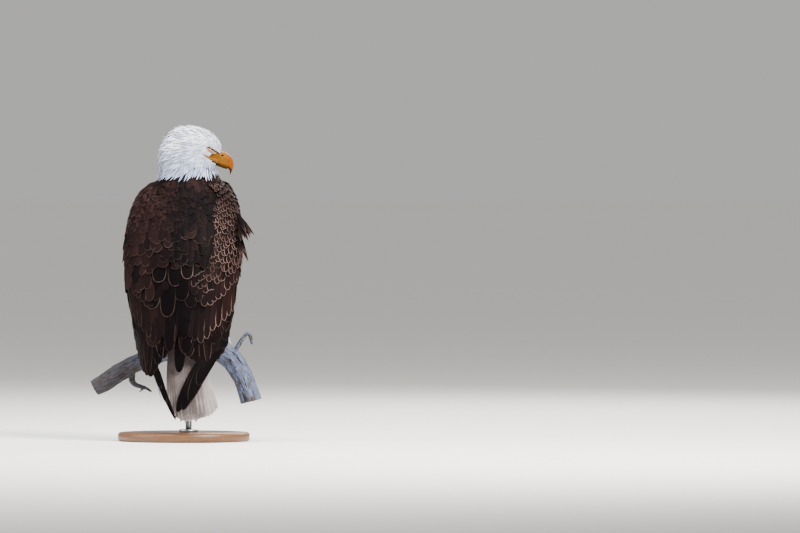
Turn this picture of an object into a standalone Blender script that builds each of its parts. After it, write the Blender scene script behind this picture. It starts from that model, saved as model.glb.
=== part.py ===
"""A life-size bald eagle that looks over its right shoulder, perched on a cut length of bare
branch, which a plain display stand carries.

Metres, +Z up. The breast faces +Y, the bird's right side is +X, and the origin is the centre of
the stand's underside. Each named object is one part of the bird or of what carries it.
"""

import math

import bmesh
import bpy
from mathutils import Vector

# ---------------------------------------------------------------- driving dimensions
GAP = 0.0004  # clearance between neighbouring pieces
GROW = 0.0008  # how far a cutter stands proud of the piece it is copied from
CORNER_GROW = 3.0  # the most that a sharp corner moves, as a multiple of that

BASE_SIZE = (0.330, 0.290)  # the stand's oval, across X and Y
BASE_THICK = 0.022
BASE_EDGE = 0.004
ROD_RADIUS = 0.008
ROD_X = 0.012
ROD_IN_PERCH = 0.016
COLLAR_RADIUS = 0.024
COLLAR_THICK = 0.007

PERCH_Z = 0.2310  # height of the branch's axis under the feet
FOOT_X = {"left": -0.047, "right": 0.050}
SIDES = {"left": -1.0, "right": 1.0}

HEAD_CENTRE = Vector((0.0115, 0.034, 0.7145))
HEAD_YAW = math.radians(12.0)  # from +X towards +Y: the way the face looks
FACE = Vector((math.cos(HEAD_YAW), math.sin(HEAD_YAW), 0.0))
FACE_LEFT = Vector((-math.sin(HEAD_YAW), math.cos(HEAD_YAW), 0.0))
UP = Vector((0.0, 0.0, 1.0))

EYE_RADIUS = 0.0120
EYE_AT = (0.0480, 0.0145, 0.0300)  # forward, up and out from the head's centre

# Colours are linear RGB.
BROWN = (0.028, 0.017, 0.012)
DARK_BROWN = (0.010, 0.007, 0.006)
WHITE = (0.80, 0.80, 0.78)
YELLOW = (0.72, 0.33, 0.03)
FINISHES = {
    "feather_brown": (BROWN, 0.75, 0.0),
    "feather_dark": (DARK_BROWN, 0.6, 0.0),
    "feather_white": (WHITE, 0.8, 0.0),
    "horn_yellow": (YELLOW, 0.35, 0.0),
    "skin_yellow": ((0.65, 0.36, 0.05), 0.5, 0.0),
    "claw_black": ((0.012, 0.011, 0.011), 0.25, 0.0),
    "eye_gold": ((0.62, 0.52, 0.22), 0.05, 0.0),
    "bark_grey": ((0.24, 0.23, 0.23), 0.85, 0.0),
    "stand_wood": ((0.030, 0.018, 0.012), 0.35, 0.0),
    "stand_steel": ((0.10, 0.10, 0.10), 0.35, 1.0),
}

# Trunk: height, x and y of the centre, half width, depth to the breast, depth to the back.
TRUNK = (
    (0.240, 0.000, -0.070, 0.034, 0.026, 0.024),
    (0.268, 0.000, -0.052, 0.076, 0.062, 0.054),
    (0.320, 0.000, -0.036, 0.110, 0.084, 0.094),
    (0.390, 0.000, -0.016, 0.126, 0.096, 0.108),
    (0.460, 0.000, -0.002, 0.130, 0.102, 0.112),
    (0.525, 0.000, 0.012, 0.127, 0.100, 0.104),
    (0.575, 0.002, 0.022, 0.120, 0.092, 0.092),
    (0.612, 0.006, 0.028, 0.110, 0.082, 0.082),
    (0.640, 0.011, 0.031, 0.092, 0.076, 0.078),
)
# Neck and head: a point on the nape or crown, the point facing it on the throat or chin, both as
# (forward, up) from the head's centre, and the half width there.
NECK_HEAD = (
    ((-0.072, -0.052), (0.080, -0.058), 0.066),
    ((-0.077, -0.020), (0.071, -0.045), 0.058),
    ((-0.076, 0.022), (0.064, -0.039), 0.053),
    ((-0.053, 0.062), (0.060, -0.034), 0.049),
    ((-0.003, 0.0785), (0.061, -0.030), 0.046),
    ((0.039, 0.068), (0.064, -0.027), 0.040),
    ((0.068, 0.048), (0.070, -0.023), 0.030),
    ((0.082, 0.024), (0.073, -0.018), 0.019),
)
# Bill: a point on its ridge, the point facing it on its lower edge, and the half width there.
BILL_UPPER = (
    ((0.050, 0.016), (0.040, -0.008), 0.0175),
    ((0.064, 0.015), (0.052, -0.0125), 0.0165),
    ((0.0775, 0.0105), (0.064, -0.0155), 0.0150),
    ((0.0880, 0.0075), (0.076, -0.0190), 0.0130),
    ((0.0985, 0.0010), (0.086, -0.0240), 0.0112),
    ((0.1060, -0.0085), (0.0935, -0.0300), 0.0090),
    ((0.1100, -0.0200), (0.0980, -0.0355), 0.0066),
    ((0.1090, -0.0320), (0.1000, -0.0405), 0.0044),
    ((0.1050, -0.0420), (0.0998, -0.0460), 0.0024),
    ((0.1005, -0.0500), (0.0985, -0.0510), 0.0009),
)
BILL_LOWER = (
    ((0.044, -0.006), (0.046, -0.0225), 0.0130),
    ((0.058, -0.011), (0.059, -0.0250), 0.0118),
    ((0.071, -0.015), (0.070, -0.0280), 0.0100),
    ((0.082, -0.020), (0.080, -0.0320), 0.0080),
    ((0.090, -0.027), (0.088, -0.0350), 0.0055),
    ((0.0955, -0.0325), (0.0940, -0.0360), 0.0022),
)
# Brow: forward, up and out of the ridge over each eye, from the head's centre, and its radius.
BROW = (
    (0.026, 0.0300, 0.0330, 0.0080),
    (0.042, 0.0285, 0.0355, 0.0085),
    (0.058, 0.0220, 0.0285, 0.0080),
    (0.070, 0.0130, 0.0175, 0.0050),
)

# Folded wing: height, outermost x, y there, y of its back, y of its front edge, x of its inner
# edge on the back.
WING_SHOULDER = (
    (0.653, 0.088, 0.030, -0.010, 0.060, 0.060),
    (0.634, 0.113, 0.030, -0.032, 0.074, 0.056),
    (0.604, 0.135, 0.026, -0.056, 0.089, 0.048),
    (0.560, 0.149, 0.018, -0.080, 0.095, 0.034),
    (0.500, 0.1555, 0.004, -0.104, 0.086, 0.014),
    (0.435, 0.155, -0.012, -0.121, 0.066, 0.004),
    (0.365, 0.147, -0.026, -0.132, 0.036, 0.003),
)
WING_POINT = {
    "left": (
        (0.300, 0.131, -0.044, -0.139, 0.000, 0.003),
        (0.252, 0.116, -0.062, -0.143, -0.034, 0.012),
        (0.212, 0.106, -0.084, -0.147, -0.060, 0.052),
        (0.164, 0.095, -0.110, -0.149, -0.096, 0.080),
    ),
    "right": (
        (0.300, 0.141, -0.044, -0.139, 0.000, 0.003),
        (0.264, 0.131, -0.062, -0.142, -0.030, 0.003),
        (0.236, 0.106, -0.084, -0.145, -0.060, 0.012),
        (0.206, 0.074, -0.108, -0.147, -0.090, 0.034),
    ),
}
WING_LIFT = {"left": 0.0, "right": 0.010}  # how much higher each shoulder is held
LIFTED_FROM = 0.500  # the height at which that begins
WING_THICK = 0.022
WING_EDGE_THICK = 0.006
WING_FRONT_TURN = math.radians(50.0)

# Tail: how far down it each section is (0 root, 1 tip), half width and half thickness.
TAIL_ROOT = Vector((0.0020, -0.098, 0.280))
TAIL_TIP = Vector((0.0375, -0.156, 0.0550))
TAIL = (
    (0.00, 0.042, 0.0130),
    (0.18, 0.062, 0.0110),
    (0.42, 0.077, 0.0070),
    (0.66, 0.074, 0.0045),
    (0.84, 0.063, 0.0030),
    (0.95, 0.049, 0.0022),
    (1.00, 0.032, 0.0015),
)
TAIL_ARCH = 0.008  # how far the tail's edges curl forward

# Wing tips: centre line as (x, y, z), with half width, from under the wing to the point.
PRIMARIES = {
    "right": (
        (0.0740, -0.1300, 0.2400, 0.0210),
        (0.0550, -0.1385, 0.2020, 0.0215),
        (0.0455, -0.1430, 0.1720, 0.0180),
        (0.0335, -0.1490, 0.1430, 0.0170),
        (0.0205, -0.1555, 0.1145, 0.0155),
        (0.0115, -0.1605, 0.0905, 0.0125),
        (0.0040, -0.1635, 0.0755, 0.0075),
    ),
    "left": (
        (-0.0680, -0.1270, 0.2400, 0.0150),
        (-0.0550, -0.1345, 0.2050, 0.0110),
        (-0.0480, -0.1395, 0.1735, 0.0085),
        (-0.0400, -0.1455, 0.1420, 0.0070),
        (-0.0300, -0.1515, 0.1095, 0.0055),
        (-0.0150, -0.1580, 0.0770, 0.0035),
        (-0.0080, -0.1610, 0.0600, 0.0015),
    ),
}
PRIMARY_THICK = 0.0022

# Thigh: offset from the foot's x, y, height, radius.
THIGH = (
    (0.014, -0.004, 0.395, 0.048),
    (0.013, 0.010, 0.352, 0.056),
    (0.009, 0.019, 0.314, 0.050),
    (0.004, 0.018, 0.290, 0.037),
    (0.001, 0.008, 0.272, 0.020),
)
TARSUS_RADIUS = 0.0095
TARSUS_TOP = 0.300

# Toes: sideways spread along the perch, the turn around it in degrees, radius at root and tip.
TOES = {
    "inner": (-0.026, 96.0, 0.0080, 0.0062),
    "middle": (0.000, 112.0, 0.0080, 0.0060),
    "outer": (0.026, 96.0, 0.0072, 0.0056),
    "hind": (-0.004, -78.0, 0.0084, 0.0068),
}
CLAW_TURN = 50.0  # degrees of the perch that a claw covers
TOE_STEPS = 4
CLAW_STEPS = 3

# Perch: axis x, height and radius, in the plane y = 0.
PERCH = (
    (-0.226, 0.1310, 0.0205),
    (-0.188, 0.1535, 0.0240),
    (-0.150, 0.1785, 0.0225),
    (-0.105, 0.2005, 0.0225),
    (-0.047, 0.2220, 0.0225),
    (0.012, PERCH_Z, 0.0240),
    (0.052, PERCH_Z, 0.0260),
    (0.088, 0.2255, 0.0280),
    (0.121, 0.2030, 0.0275),
    (0.147, 0.1630, 0.0265),
    (0.164, 0.1210, 0.0270),
    (0.170, 0.1000, 0.0275),
)
PERCH_STEPS = 2
TWIGS = {
    "upper": ((0.122, 0.000, 0.215, 0.0075), (0.137, -0.003, 0.239, 0.0062),
              (0.150, -0.005, 0.259, 0.0052), (0.160, -0.006, 0.270, 0.0052),
              (0.167, -0.005, 0.266, 0.0048), (0.170, -0.004, 0.252, 0.0040),
              (0.173, -0.003, 0.242, 0.0028)),
    "lower": ((-0.130, 0.000, 0.185, 0.0095), (-0.131, 0.004, 0.160, 0.0090),
              (-0.129, 0.008, 0.147, 0.0080), (-0.118, 0.010, 0.138, 0.0070),
              (-0.098, 0.012, 0.132, 0.0055), (-0.082, 0.012, 0.122, 0.0040)),
    "fork": ((-0.100, 0.012, 0.132, 0.0030), (-0.107, 0.012, 0.127, 0.0026),
             (-0.114, 0.012, 0.122, 0.0018)),
    "stub": ((0.134, -0.012, 0.180, 0.0055), (0.136, -0.031, 0.182, 0.0050),
             (0.137, -0.038, 0.181, 0.0045)),
}


# ---------------------------------------------------------------- scene and mesh helpers
def clear_scene():
    for obj in list(bpy.data.objects):
        bpy.data.objects.remove(obj, do_unlink=True)


def new_collection(name, shown=True):
    collection = bpy.data.collections.new(name)
    collection.hide_render = not shown
    bpy.context.scene.collection.children.link(collection)
    return collection


def finish(name):
    """The material of that name, made once."""
    if name in bpy.data.materials:
        return bpy.data.materials[name]
    colour, roughness, metallic = FINISHES[name]
    material = bpy.data.materials.new(name)
    material.use_nodes = True
    shader = material.node_tree.nodes["Principled BSDF"]
    shader.inputs["Base Color"].default_value = (*colour, 1.0)
    shader.inputs["Roughness"].default_value = roughness
    shader.inputs["Metallic"].default_value = metallic
    return material


def object_from(name, mesh, collection):
    obj = bpy.data.objects.new(name, mesh)
    collection.objects.link(obj)
    return obj


def placed(obj, name):
    """A primitive named and moved to the bird's collection, with its place in its mesh."""
    obj.name = name
    for owner in list(obj.users_collection):
        owner.objects.unlink(obj)
    bird.objects.link(obj)
    bpy.context.view_layer.update()
    obj.data.transform(obj.matrix_world)
    obj.matrix_world.identity()
    return obj


def evaluated_mesh(obj):
    bpy.context.view_layer.update()
    graph = bpy.context.evaluated_depsgraph_get()
    return bpy.data.meshes.new_from_object(obj.evaluated_get(graph), depsgraph=graph)


def settled(obj):
    """obj with its modifiers, or its curve, turned into plain closed mesh."""
    mesh = evaluated_mesh(obj)
    work = bmesh.new()
    work.from_mesh(mesh)
    bmesh.ops.remove_doubles(work, verts=work.verts, dist=1e-6)
    work.to_mesh(mesh)
    work.free()
    if obj.type == "MESH":
        obj.modifiers.clear()
        obj.data = mesh
        return obj
    name, owner, place = obj.name, obj.users_collection[0], obj.matrix_world.copy()
    bpy.data.objects.remove(obj, do_unlink=True)
    made = object_from(name, mesh, owner)
    made.matrix_world = place
    return made


def facing_out(obj):
    work = bmesh.new()
    work.from_mesh(obj.data)
    bmesh.ops.recalc_face_normals(work, faces=work.faces)
    work.to_mesh(obj.data)
    work.free()
    return obj


def dressed(obj, finish_name, smooth=True):
    obj.data.materials.clear()
    obj.data.materials.append(finish(finish_name))
    if smooth:
        obj.data.shade_smooth()
        obj.data.set_sharp_from_angle(angle=math.radians(50))
    return obj


def ring(centre, u, v, half_u, half_v, count, back=None):
    """Points round an oval, grown to make up for what subdivision takes off it. back is the half
    size on the side that faces away from v, where it differs."""
    grow = 3.0 / (2.0 + math.cos(math.tau / count))
    points = []
    for step in range(count):
        turn = math.tau * step / count
        reach = half_v if back is None or math.sin(turn) > 0 else back
        points.append(centre + u * (half_u * grow * math.cos(turn))
                      + v * (reach * grow * math.sin(turn)))
    return points


def loft(name, rings, collection, keep=0.5):
    """A closed skin over rings of equal, even count, with a strip of faces over each end, smoothed
    by subdivision, of which that share of the faces is kept."""
    work = bmesh.new()
    rows = [[work.verts.new(p) for p in points] for points in rings]
    count = len(rings[0])
    for low, high in zip(rows, rows[1:]):
        for i in range(count):
            j = (i + 1) % count
            work.faces.new((low[i], low[j], high[j], high[i]))
    for row in (rows[0], rows[-1]):
        for i in range(count // 2 - 1):
            work.faces.new((row[i], row[i + 1], row[count - 2 - i], row[count - 1 - i]))
    bmesh.ops.recalc_face_normals(work, faces=work.faces)
    mesh = bpy.data.meshes.new(name)
    work.to_mesh(mesh)
    work.free()
    obj = object_from(name, mesh, collection)
    smoother = obj.modifiers.new("smooth", "SUBSURF")
    smoother.levels = smoother.render_levels = 1
    thinner = obj.modifiers.new("thin", "DECIMATE")
    thinner.ratio = keep
    thinner.use_collapse_triangulate = True
    return settled(obj)


def smooth_line(rows, steps):
    """Rows of numbers with steps - 1 more between each two, on a curve through them all."""
    rows = [Vector(row) for row in rows]
    ends = [rows[0] * 2 - rows[1]] + rows + [rows[-1] * 2 - rows[-2]]
    line = []
    for a, b, c, d in zip(ends, ends[1:], ends[2:], ends[3:]):
        for step in range(steps):
            t = step / steps
            line.append((b * 2 + (c - a) * t + (a * 2 - b * 5 + c * 4 - d) * t ** 2
                         + (b * 3 - a - c * 3 + d) * t ** 3) / 2)
    return line + [rows[-1]]


def tube(name, points, collection, sides_resolution=2, steps=3):
    """A round tapering rod through (x, y, z, radius) points."""
    curve = bpy.data.curves.new(name, "CURVE")
    curve.dimensions = "3D"
    curve.bevel_depth = 1.0
    curve.bevel_resolution = sides_resolution
    curve.use_fill_caps = True
    line = smooth_line(points, steps)
    spline = curve.splines.new("POLY")
    spline.points.add(len(line) - 1)
    for point, (x, y, z, radius) in zip(spline.points, line):
        point.co = (x, y, z, 1.0)
        point.radius = max(radius, 0.0004)
    return facing_out(settled(object_from(name, curve, collection)))


def one_piece(obj):
    """obj with only its largest shell, without the small hollows that a union can shut in."""
    work = bmesh.new()
    work.from_mesh(obj.data)
    left, shells = set(work.verts), []
    while left:
        shell, front = set(), [left.pop()]
        while front:
            vertex = front.pop()
            shell.add(vertex)
            near = {edge.other_vert(vertex) for edge in vertex.link_edges} & left
            left -= near
            front += near
        shells.append(shell)
    largest = max(shells, key=len)
    bmesh.ops.delete(work, geom=[v for v in work.verts if v not in largest], context="VERTS")
    work.to_mesh(obj.data)
    work.free()
    return obj


def combined(obj, tool, operation):
    """obj after a Boolean with tool, which goes."""
    change = obj.modifiers.new("combine", "BOOLEAN")
    change.operation = operation
    change.solver = "EXACT"
    change.object = tool
    settled(obj)
    bpy.data.objects.remove(tool, do_unlink=True)
    return obj


def grown(obj, by=GROW):
    """A copy of obj whose faces all stand off it by that much, to cut its neighbours with."""
    mesh = obj.data.copy()
    work = bmesh.new()
    work.from_mesh(mesh)
    work.normal_update()
    moves = [v.normal * (by * min(v.calc_shell_factor(), CORNER_GROW)) for v in work.verts]
    for vertex, move in zip(work.verts, moves):
        vertex.co += move
    work.to_mesh(mesh)
    work.free()
    return object_from(obj.name + "_cutter", mesh, cutters)


def cut_by(obj, *neighbours):
    """obj without the room that its neighbours take."""
    for neighbour in neighbours:
        combined(obj, grown(neighbour), "DIFFERENCE")
    return obj


def between(source, name, low=None, high=None):
    """The stretch of source above the plane low and below the plane high, each (point, normal),
    with half the clearance taken off at each cut."""
    work = bmesh.new()
    work.from_mesh(source.data)
    for plane, sign in ((low, -1.0), (high, 1.0)):
        if plane is None:
            continue
        point, normal = plane
        cut = bmesh.ops.bisect_plane(
            work, geom=work.verts[:] + work.edges[:] + work.faces[:],
            plane_co=point - normal * (sign * GAP / 2), plane_no=normal * sign,
            clear_outer=True)
        rim = [e for e in cut["geom_cut"] if isinstance(e, bmesh.types.BMEdge)]
        bmesh.ops.holes_fill(work, edges=rim)
    bmesh.ops.recalc_face_normals(work, faces=work.faces)
    mesh = bpy.data.meshes.new(name)
    work.to_mesh(mesh)
    work.free()
    return object_from(name, mesh, bird)


# ---------------------------------------------------------------- trunk, neck and head
def head_point(forward, up, out=0.0, side=1.0):
    """A point of the head from its centre; out is towards the bird's right where side is 1."""
    return HEAD_CENTRE + FACE * forward + UP * up - FACE_LEFT * (out * side)


def outline_ring(above, below, half_width, count):
    """An oval that spans two points of the head's profile."""
    top, bottom = head_point(*above), head_point(*below)
    across = bottom - top
    return ring((top + bottom) / 2, across.normalized(), FACE_LEFT, across.length / 2,
                half_width, count)


def make_body():
    """Trunk, neck and head in one skin, then parted by two flat cuts."""
    rings = [ring(Vector((x, y, z)), Vector((1, 0, 0)), Vector((0, 1, 0)), half, front, 12,
                  back) for z, x, y, half, front, back in TRUNK]
    rings += [outline_ring(*section, 12) for section in NECK_HEAD]
    whole = loft("whole_body", rings, cutters, 0.6)
    shoulder = (head_point(0.0, -0.057), (UP * 1.0 + FACE * 0.05).normalized())
    jaw = (head_point(0.0, -0.030), (UP * 1.0 + FACE * 0.22).normalized())
    trunk = between(whole, "trunk", high=shoulder)
    neck = between(whole, "neck", low=shoulder, high=jaw)
    head = between(whole, "head", low=jaw)
    bpy.data.objects.remove(whole, do_unlink=True)
    return trunk, neck, head


def make_eye(side_name):
    side = SIDES[side_name]
    forward, up, out = EYE_AT
    bpy.ops.mesh.primitive_uv_sphere_add(segments=12, ring_count=8, radius=EYE_RADIUS,
                                         location=head_point(forward, up, out, side))
    return placed(bpy.context.object, "eye_" + side_name)


def add_brow(head, side):
    points = [(*head_point(forward, up, out, side), radius) for forward, up, out, radius in BROW]
    return combined(head, tube("brow_cutter", points, cutters, 1, 2), "UNION")


def make_bill(name, sections):
    return loft(name, [outline_ring(*section, 8) for section in sections], bird)


# ---------------------------------------------------------------- wings and tail
def wing_ring(height, widest, y_mid, y_back, y_front, inner, side):
    """Round a folded wing at one height: along its outside from front to back, and back along
    its inside."""
    front_reach = (y_front - y_mid) / math.sin(WING_FRONT_TURN)
    back_reach = y_mid - y_back
    last = math.acos(inner / widest)
    turns = [-WING_FRONT_TURN, 0.0] + [last * k / 4 for k in (1, 2, 3, 4)]
    outside, inside = [], []
    for turn in turns:
        reach = front_reach if turn < 0 else back_reach
        x, y = widest * math.cos(turn), y_mid - reach * math.sin(turn)
        normal = Vector((math.cos(turn) / widest, -math.sin(turn) / reach)).normalized()
        thick = WING_EDGE_THICK if turn in (turns[0], turns[-1]) else WING_THICK
        outside.append(Vector((side * x, y, height)))
        inside.append(Vector((side * (x - normal.x * thick), y - normal.y * thick, height)))
    return outside + list(reversed(inside))


def make_wing(side_name):
    rings = []
    for height, *row in WING_SHOULDER + WING_POINT[side_name]:
        lift = WING_LIFT[side_name] * min(1.0, max(0.0, (height - LIFTED_FROM) * 10.0))
        rings.append(wing_ring(height + lift, *row, SIDES[side_name]))
    return loft("wing_" + side_name, rings, bird)


def make_primaries(side_name):
    """The long flight feathers that stand out past the folded wing, as one thin blade."""
    line = PRIMARIES[side_name]
    centres = [Vector(row[:3]) for row in line]
    rings = []
    for i, (centre, row) in enumerate(zip(centres, line)):
        along = centres[min(i + 1, len(line) - 1)] - centres[max(i - 1, 0)]
        across = Vector((-along.z, 0.0, along.x)).normalized()
        out = across.cross(along).normalized()
        rings.append(ring(centre, across, out, row[3], PRIMARY_THICK, 6))
    return loft("primaries_" + side_name, rings, bird)


def make_tail():
    along = TAIL_TIP - TAIL_ROOT
    across = Vector((-along.z, 0.0, along.x)).normalized()
    forward = along.cross(across).normalized()
    if forward.y < 0:
        forward = -forward
    rings = []
    for down, half_width, half_thick in TAIL:
        points = ring(TAIL_ROOT + along * down, across, forward, half_width, half_thick, 10)
        for point in points:
            off = (point - TAIL_ROOT - along * down).dot(across) / half_width
            point += forward * (TAIL_ARCH * off * off * down)
        rings.append(points)
    return loft("tail", rings, bird)


# ---------------------------------------------------------------- perch, legs, feet and claws
def perch_at(x):
    """Height of the branch's axis and its radius at x."""
    line = smooth_line(PERCH, PERCH_STEPS)
    for (x0, z0, r0), (x1, z1, r1) in zip(line, line[1:]):
        if x <= x1:
            share = (x - x0) / (x1 - x0)
            return z0 + (z1 - z0) * share, r0 + (r1 - r0) * share
    return line[-1][1:]


def perch_tube(name, collection, more=0.0):
    return tube(name, [(x, 0.0, z, r + more) for x, z, r in PERCH], collection, 2, PERCH_STEPS)


def make_perch():
    perch = perch_tube("perch", bird)
    for name, points in TWIGS.items():
        combined(perch, tube(name + "_twig", points, cutters, 1, 2), "UNION")
    return perch


def round_perch(x, turn, off):
    """A point off the branch's surface at x, turned from its top towards the front."""
    height, radius = perch_at(x)
    slope = math.atan2(perch_at(x + radius / 2)[0] - perch_at(x - radius / 2)[0], radius)
    reach = radius + off
    rise = reach * math.cos(turn)
    return (x - rise * math.sin(slope), reach * math.sin(turn), height + rise * math.cos(slope))


def make_foot(side_name):
    side, foot_x = SIDES[side_name], FOOT_X[side_name]
    height, radius = perch_at(foot_x)
    sole = height + radius + 0.0105
    foot = tube("foot_" + side_name, [
        (foot_x, 0.004, TARSUS_TOP, TARSUS_RADIUS * 0.9),
        (foot_x, 0.002, (TARSUS_TOP + sole) / 2, TARSUS_RADIUS),
        (foot_x, 0.000, sole, TARSUS_RADIUS * 1.1)], bird, 1, 2)
    claws = []
    for name, (spread, turn, thick, thin) in TOES.items():
        toe, claw = [], []
        for step in range(TOE_STEPS + 1):
            share = step / TOE_STEPS
            thickness = thick + (thin - thick) * share
            angle = math.radians(turn) * share
            x = foot_x + side * spread * min(1.0, share * 1.8)
            toe.append((*round_perch(x, angle, thickness + 0.0012), thickness))
        sense = math.copysign(1.0, turn)
        for step in range(CLAW_STEPS + 1):
            share = step / CLAW_STEPS
            thickness = thin * 0.72 * (1.0 - share) + 0.0008
            angle = math.radians(turn + sense * (5.0 + CLAW_TURN * share))
            lift = thin * (1.0 + 0.9 * math.sin(share * math.pi)) * (1.0 - share) + 0.0018
            claw.append((*round_perch(foot_x + side * spread, angle, lift), thickness))
        combined(foot, tube("toe_cutter", toe, cutters, 1, 2), "UNION")
        claws.append(tube("claw_" + side_name + "_" + name, claw, bird, 1, 2))
    one_piece(foot)
    for claw in claws:
        one_piece(cut_by(claw, foot))
    return foot, claws


def make_thigh(side_name):
    side, foot_x = SIDES[side_name], FOOT_X[side_name]
    rings = [ring(Vector((foot_x + side * out, y, z)), Vector((1, 0, 0)), Vector((0, 1, 0)),
                  radius, radius, 8) for out, y, z, radius in THIGH]
    return loft("thigh_" + side_name, rings, bird)


# ---------------------------------------------------------------- stand
def make_stand():
    bpy.ops.mesh.primitive_cylinder_add(vertices=40, radius=0.5, depth=BASE_THICK,
                                        location=(0, 0, BASE_THICK / 2))
    base = placed(bpy.context.object, "stand_base")
    for vertex in base.data.vertices:
        vertex.co.x *= BASE_SIZE[0]
        vertex.co.y *= BASE_SIZE[1]
    edge = base.modifiers.new("edge", "BEVEL")
    edge.width = BASE_EDGE
    edge.segments = 1
    edge.limit_method = "ANGLE"
    height, radius = perch_at(ROD_X)
    foot = BASE_THICK + GAP
    bpy.ops.mesh.primitive_cylinder_add(vertices=20, radius=COLLAR_RADIUS, depth=COLLAR_THICK,
                                        location=(ROD_X, 0, foot + COLLAR_THICK / 2))
    collar = placed(bpy.context.object, "stand_collar")
    edge = collar.modifiers.new("edge", "BEVEL")
    edge.width = COLLAR_THICK / 4
    edge.segments = 1
    edge.limit_method = "ANGLE"
    top = height - radius + ROD_IN_PERCH
    bpy.ops.mesh.primitive_cylinder_add(vertices=16, radius=ROD_RADIUS, depth=top - foot,
                                        location=(ROD_X, 0, (top + foot) / 2))
    rod = placed(bpy.context.object, "stand_rod")
    for obj in (base, collar):
        settled(obj)
    cut_by(collar, rod)
    return base, collar, rod


# ---------------------------------------------------------------- the whole
def build():
    base, collar, rod = make_stand()
    perch = make_perch()
    cut_by(perch, rod)

    trunk, neck, head = make_body()
    bill_upper = make_bill("bill_upper", BILL_UPPER)
    bill_lower = make_bill("bill_lower", BILL_LOWER)
    cut_by(bill_lower, bill_upper)
    eyes = [make_eye(side) for side in SIDES]
    for side in SIDES.values():
        add_brow(head, side)
    cut_by(head, bill_upper, bill_lower, *eyes)

    wings = [make_wing(side) for side in SIDES]
    tail = make_tail()
    primaries = [make_primaries(side) for side in SIDES]
    cut_by(primaries[0], primaries[1])
    for blade in primaries:
        cut_by(blade, tail)
    for wing in wings:
        cut_by(wing, tail, *primaries)
    thighs = [make_thigh(side) for side in SIDES]
    feet, claws = [], []
    for side in SIDES:
        foot, foot_claws = make_foot(side)
        feet.append(foot)
        claws += foot_claws
    cut_by(trunk, *thighs, *wings, tail, *feet)
    combined(trunk, perch_tube("perch_cutter", cutters, GROW), "DIFFERENCE")
    one_piece(trunk)
    cut_by(neck, *wings)
    for thigh, foot, wing in zip(thighs, feet, wings):
        cut_by(thigh, foot, wing)

    for obj in (head, neck, tail):
        dressed(obj, "feather_white")
    for obj in (trunk, *wings, *thighs):
        dressed(obj, "feather_brown")
    for obj in primaries:
        dressed(obj, "feather_dark")
    for obj in (bill_upper, bill_lower):
        dressed(obj, "horn_yellow")
    for obj in feet:
        dressed(obj, "skin_yellow")
    for obj in claws:
        dressed(obj, "claw_black")
    for obj in eyes:
        dressed(obj, "eye_gold")
    dressed(perch, "bark_grey")
    dressed(base, "stand_wood")
    for obj in (collar, rod):
        dressed(obj, "stand_steel")


clear_scene()
bird = new_collection("bald_eagle")
cutters = new_collection("cutters", shown=False)
build()
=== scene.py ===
import math

import bpy
import numpy as np
from mathutils import Matrix, Vector, noise
from mathutils.bvhtree import BVHTree
from mathutils.kdtree import KDTree


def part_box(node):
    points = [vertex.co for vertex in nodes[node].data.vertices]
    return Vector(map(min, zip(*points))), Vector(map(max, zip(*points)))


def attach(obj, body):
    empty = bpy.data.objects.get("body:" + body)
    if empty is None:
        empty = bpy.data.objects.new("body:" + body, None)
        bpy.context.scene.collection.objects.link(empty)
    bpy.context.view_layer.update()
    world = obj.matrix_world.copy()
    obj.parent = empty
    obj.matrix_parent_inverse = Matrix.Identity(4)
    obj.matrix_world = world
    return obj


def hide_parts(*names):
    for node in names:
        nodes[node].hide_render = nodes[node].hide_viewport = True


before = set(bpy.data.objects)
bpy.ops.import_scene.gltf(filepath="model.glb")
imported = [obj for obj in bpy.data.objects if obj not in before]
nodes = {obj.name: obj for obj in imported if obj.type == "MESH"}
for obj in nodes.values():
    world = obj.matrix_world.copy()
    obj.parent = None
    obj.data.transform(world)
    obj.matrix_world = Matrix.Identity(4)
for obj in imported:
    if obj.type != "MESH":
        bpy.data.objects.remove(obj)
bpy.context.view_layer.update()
chance = np.random.default_rng(11)
print("frame loaded")


# The bird's own directions and places, from the solids.
def middle(nodeName):
    low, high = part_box(nodeName)
    return (low + high) / 2


up = Vector((0, 0, 1))
betweenEyes = (middle("eye_left") + middle("eye_right")) / 2
faceLeft = (middle("eye_left") - middle("eye_right")).normalized()
face = faceLeft.cross(up).normalized()
headBack, headDown = 0.048, 0.0145  # from between the eyes to the head's centre
headCentre = betweenEyes - face * headBack - up * headDown
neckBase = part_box("neck")[0].z
axisBack = -0.015  # Y of the upright axis that all turns round the body are about
sides = {"left": -1, "right": 1}  # towards +X is the bird's right
eyeSpots = {side: np.array(middle("eye_" + side)) for side in sides}


def headPoint(forward, upward, out):
    return headCentre + face * forward + up * upward - faceLeft * out


def headPlace(points):
    # Forward, up and out of the head's centre, for many points.
    gap = points - np.array(headCentre)
    return gap @ np.array(face), gap[:, 2], np.abs(gap @ np.array(faceLeft))


def blend(low, high, value):
    share = np.clip((value - low) / (high - low), 0, 1)
    return share * share * (3 - 2 * share)


# Studio: camera, light and floor.
studio = {
    "azimuth": 6.0,  # degrees round the bird, from straight behind it
    "elevation": 1.0,
    "lens": 400.0,
    "distance": 22.2,
    "aimRight": 0.540,  # what the camera looks at, to its right of the stand
    "aimUp": 0.436,
    "floorSize": 120.0,
    "floorColour": "#efeeea",
    "floorRoughness": 0.95,
    "worldColour": "#f4f3f1",
    "worldStrength": 0.62,
    "horizonShare": 0.885,  # how bright the sky looks behind the floor, as a share of its light
    "clipEnd": 300.0,
    "lampAim": 0.45,  # height that the softboxes point at
}
softboxes = {  # azimuth, elevation, distance, size in metres, watts, colour
    "key": (48, 40, 3.2, 1.2, 330, "#fff6ec"),
    "fill": (-68, 25, 3.4, 2.0, 115, "#f6f1ee"),
    "crown": (-20, 78, 2.6, 1.4, 115, "#ffffff"),
    "front": (160, 35, 3.4, 2.0, 120, "#ffffff"),
}


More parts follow.
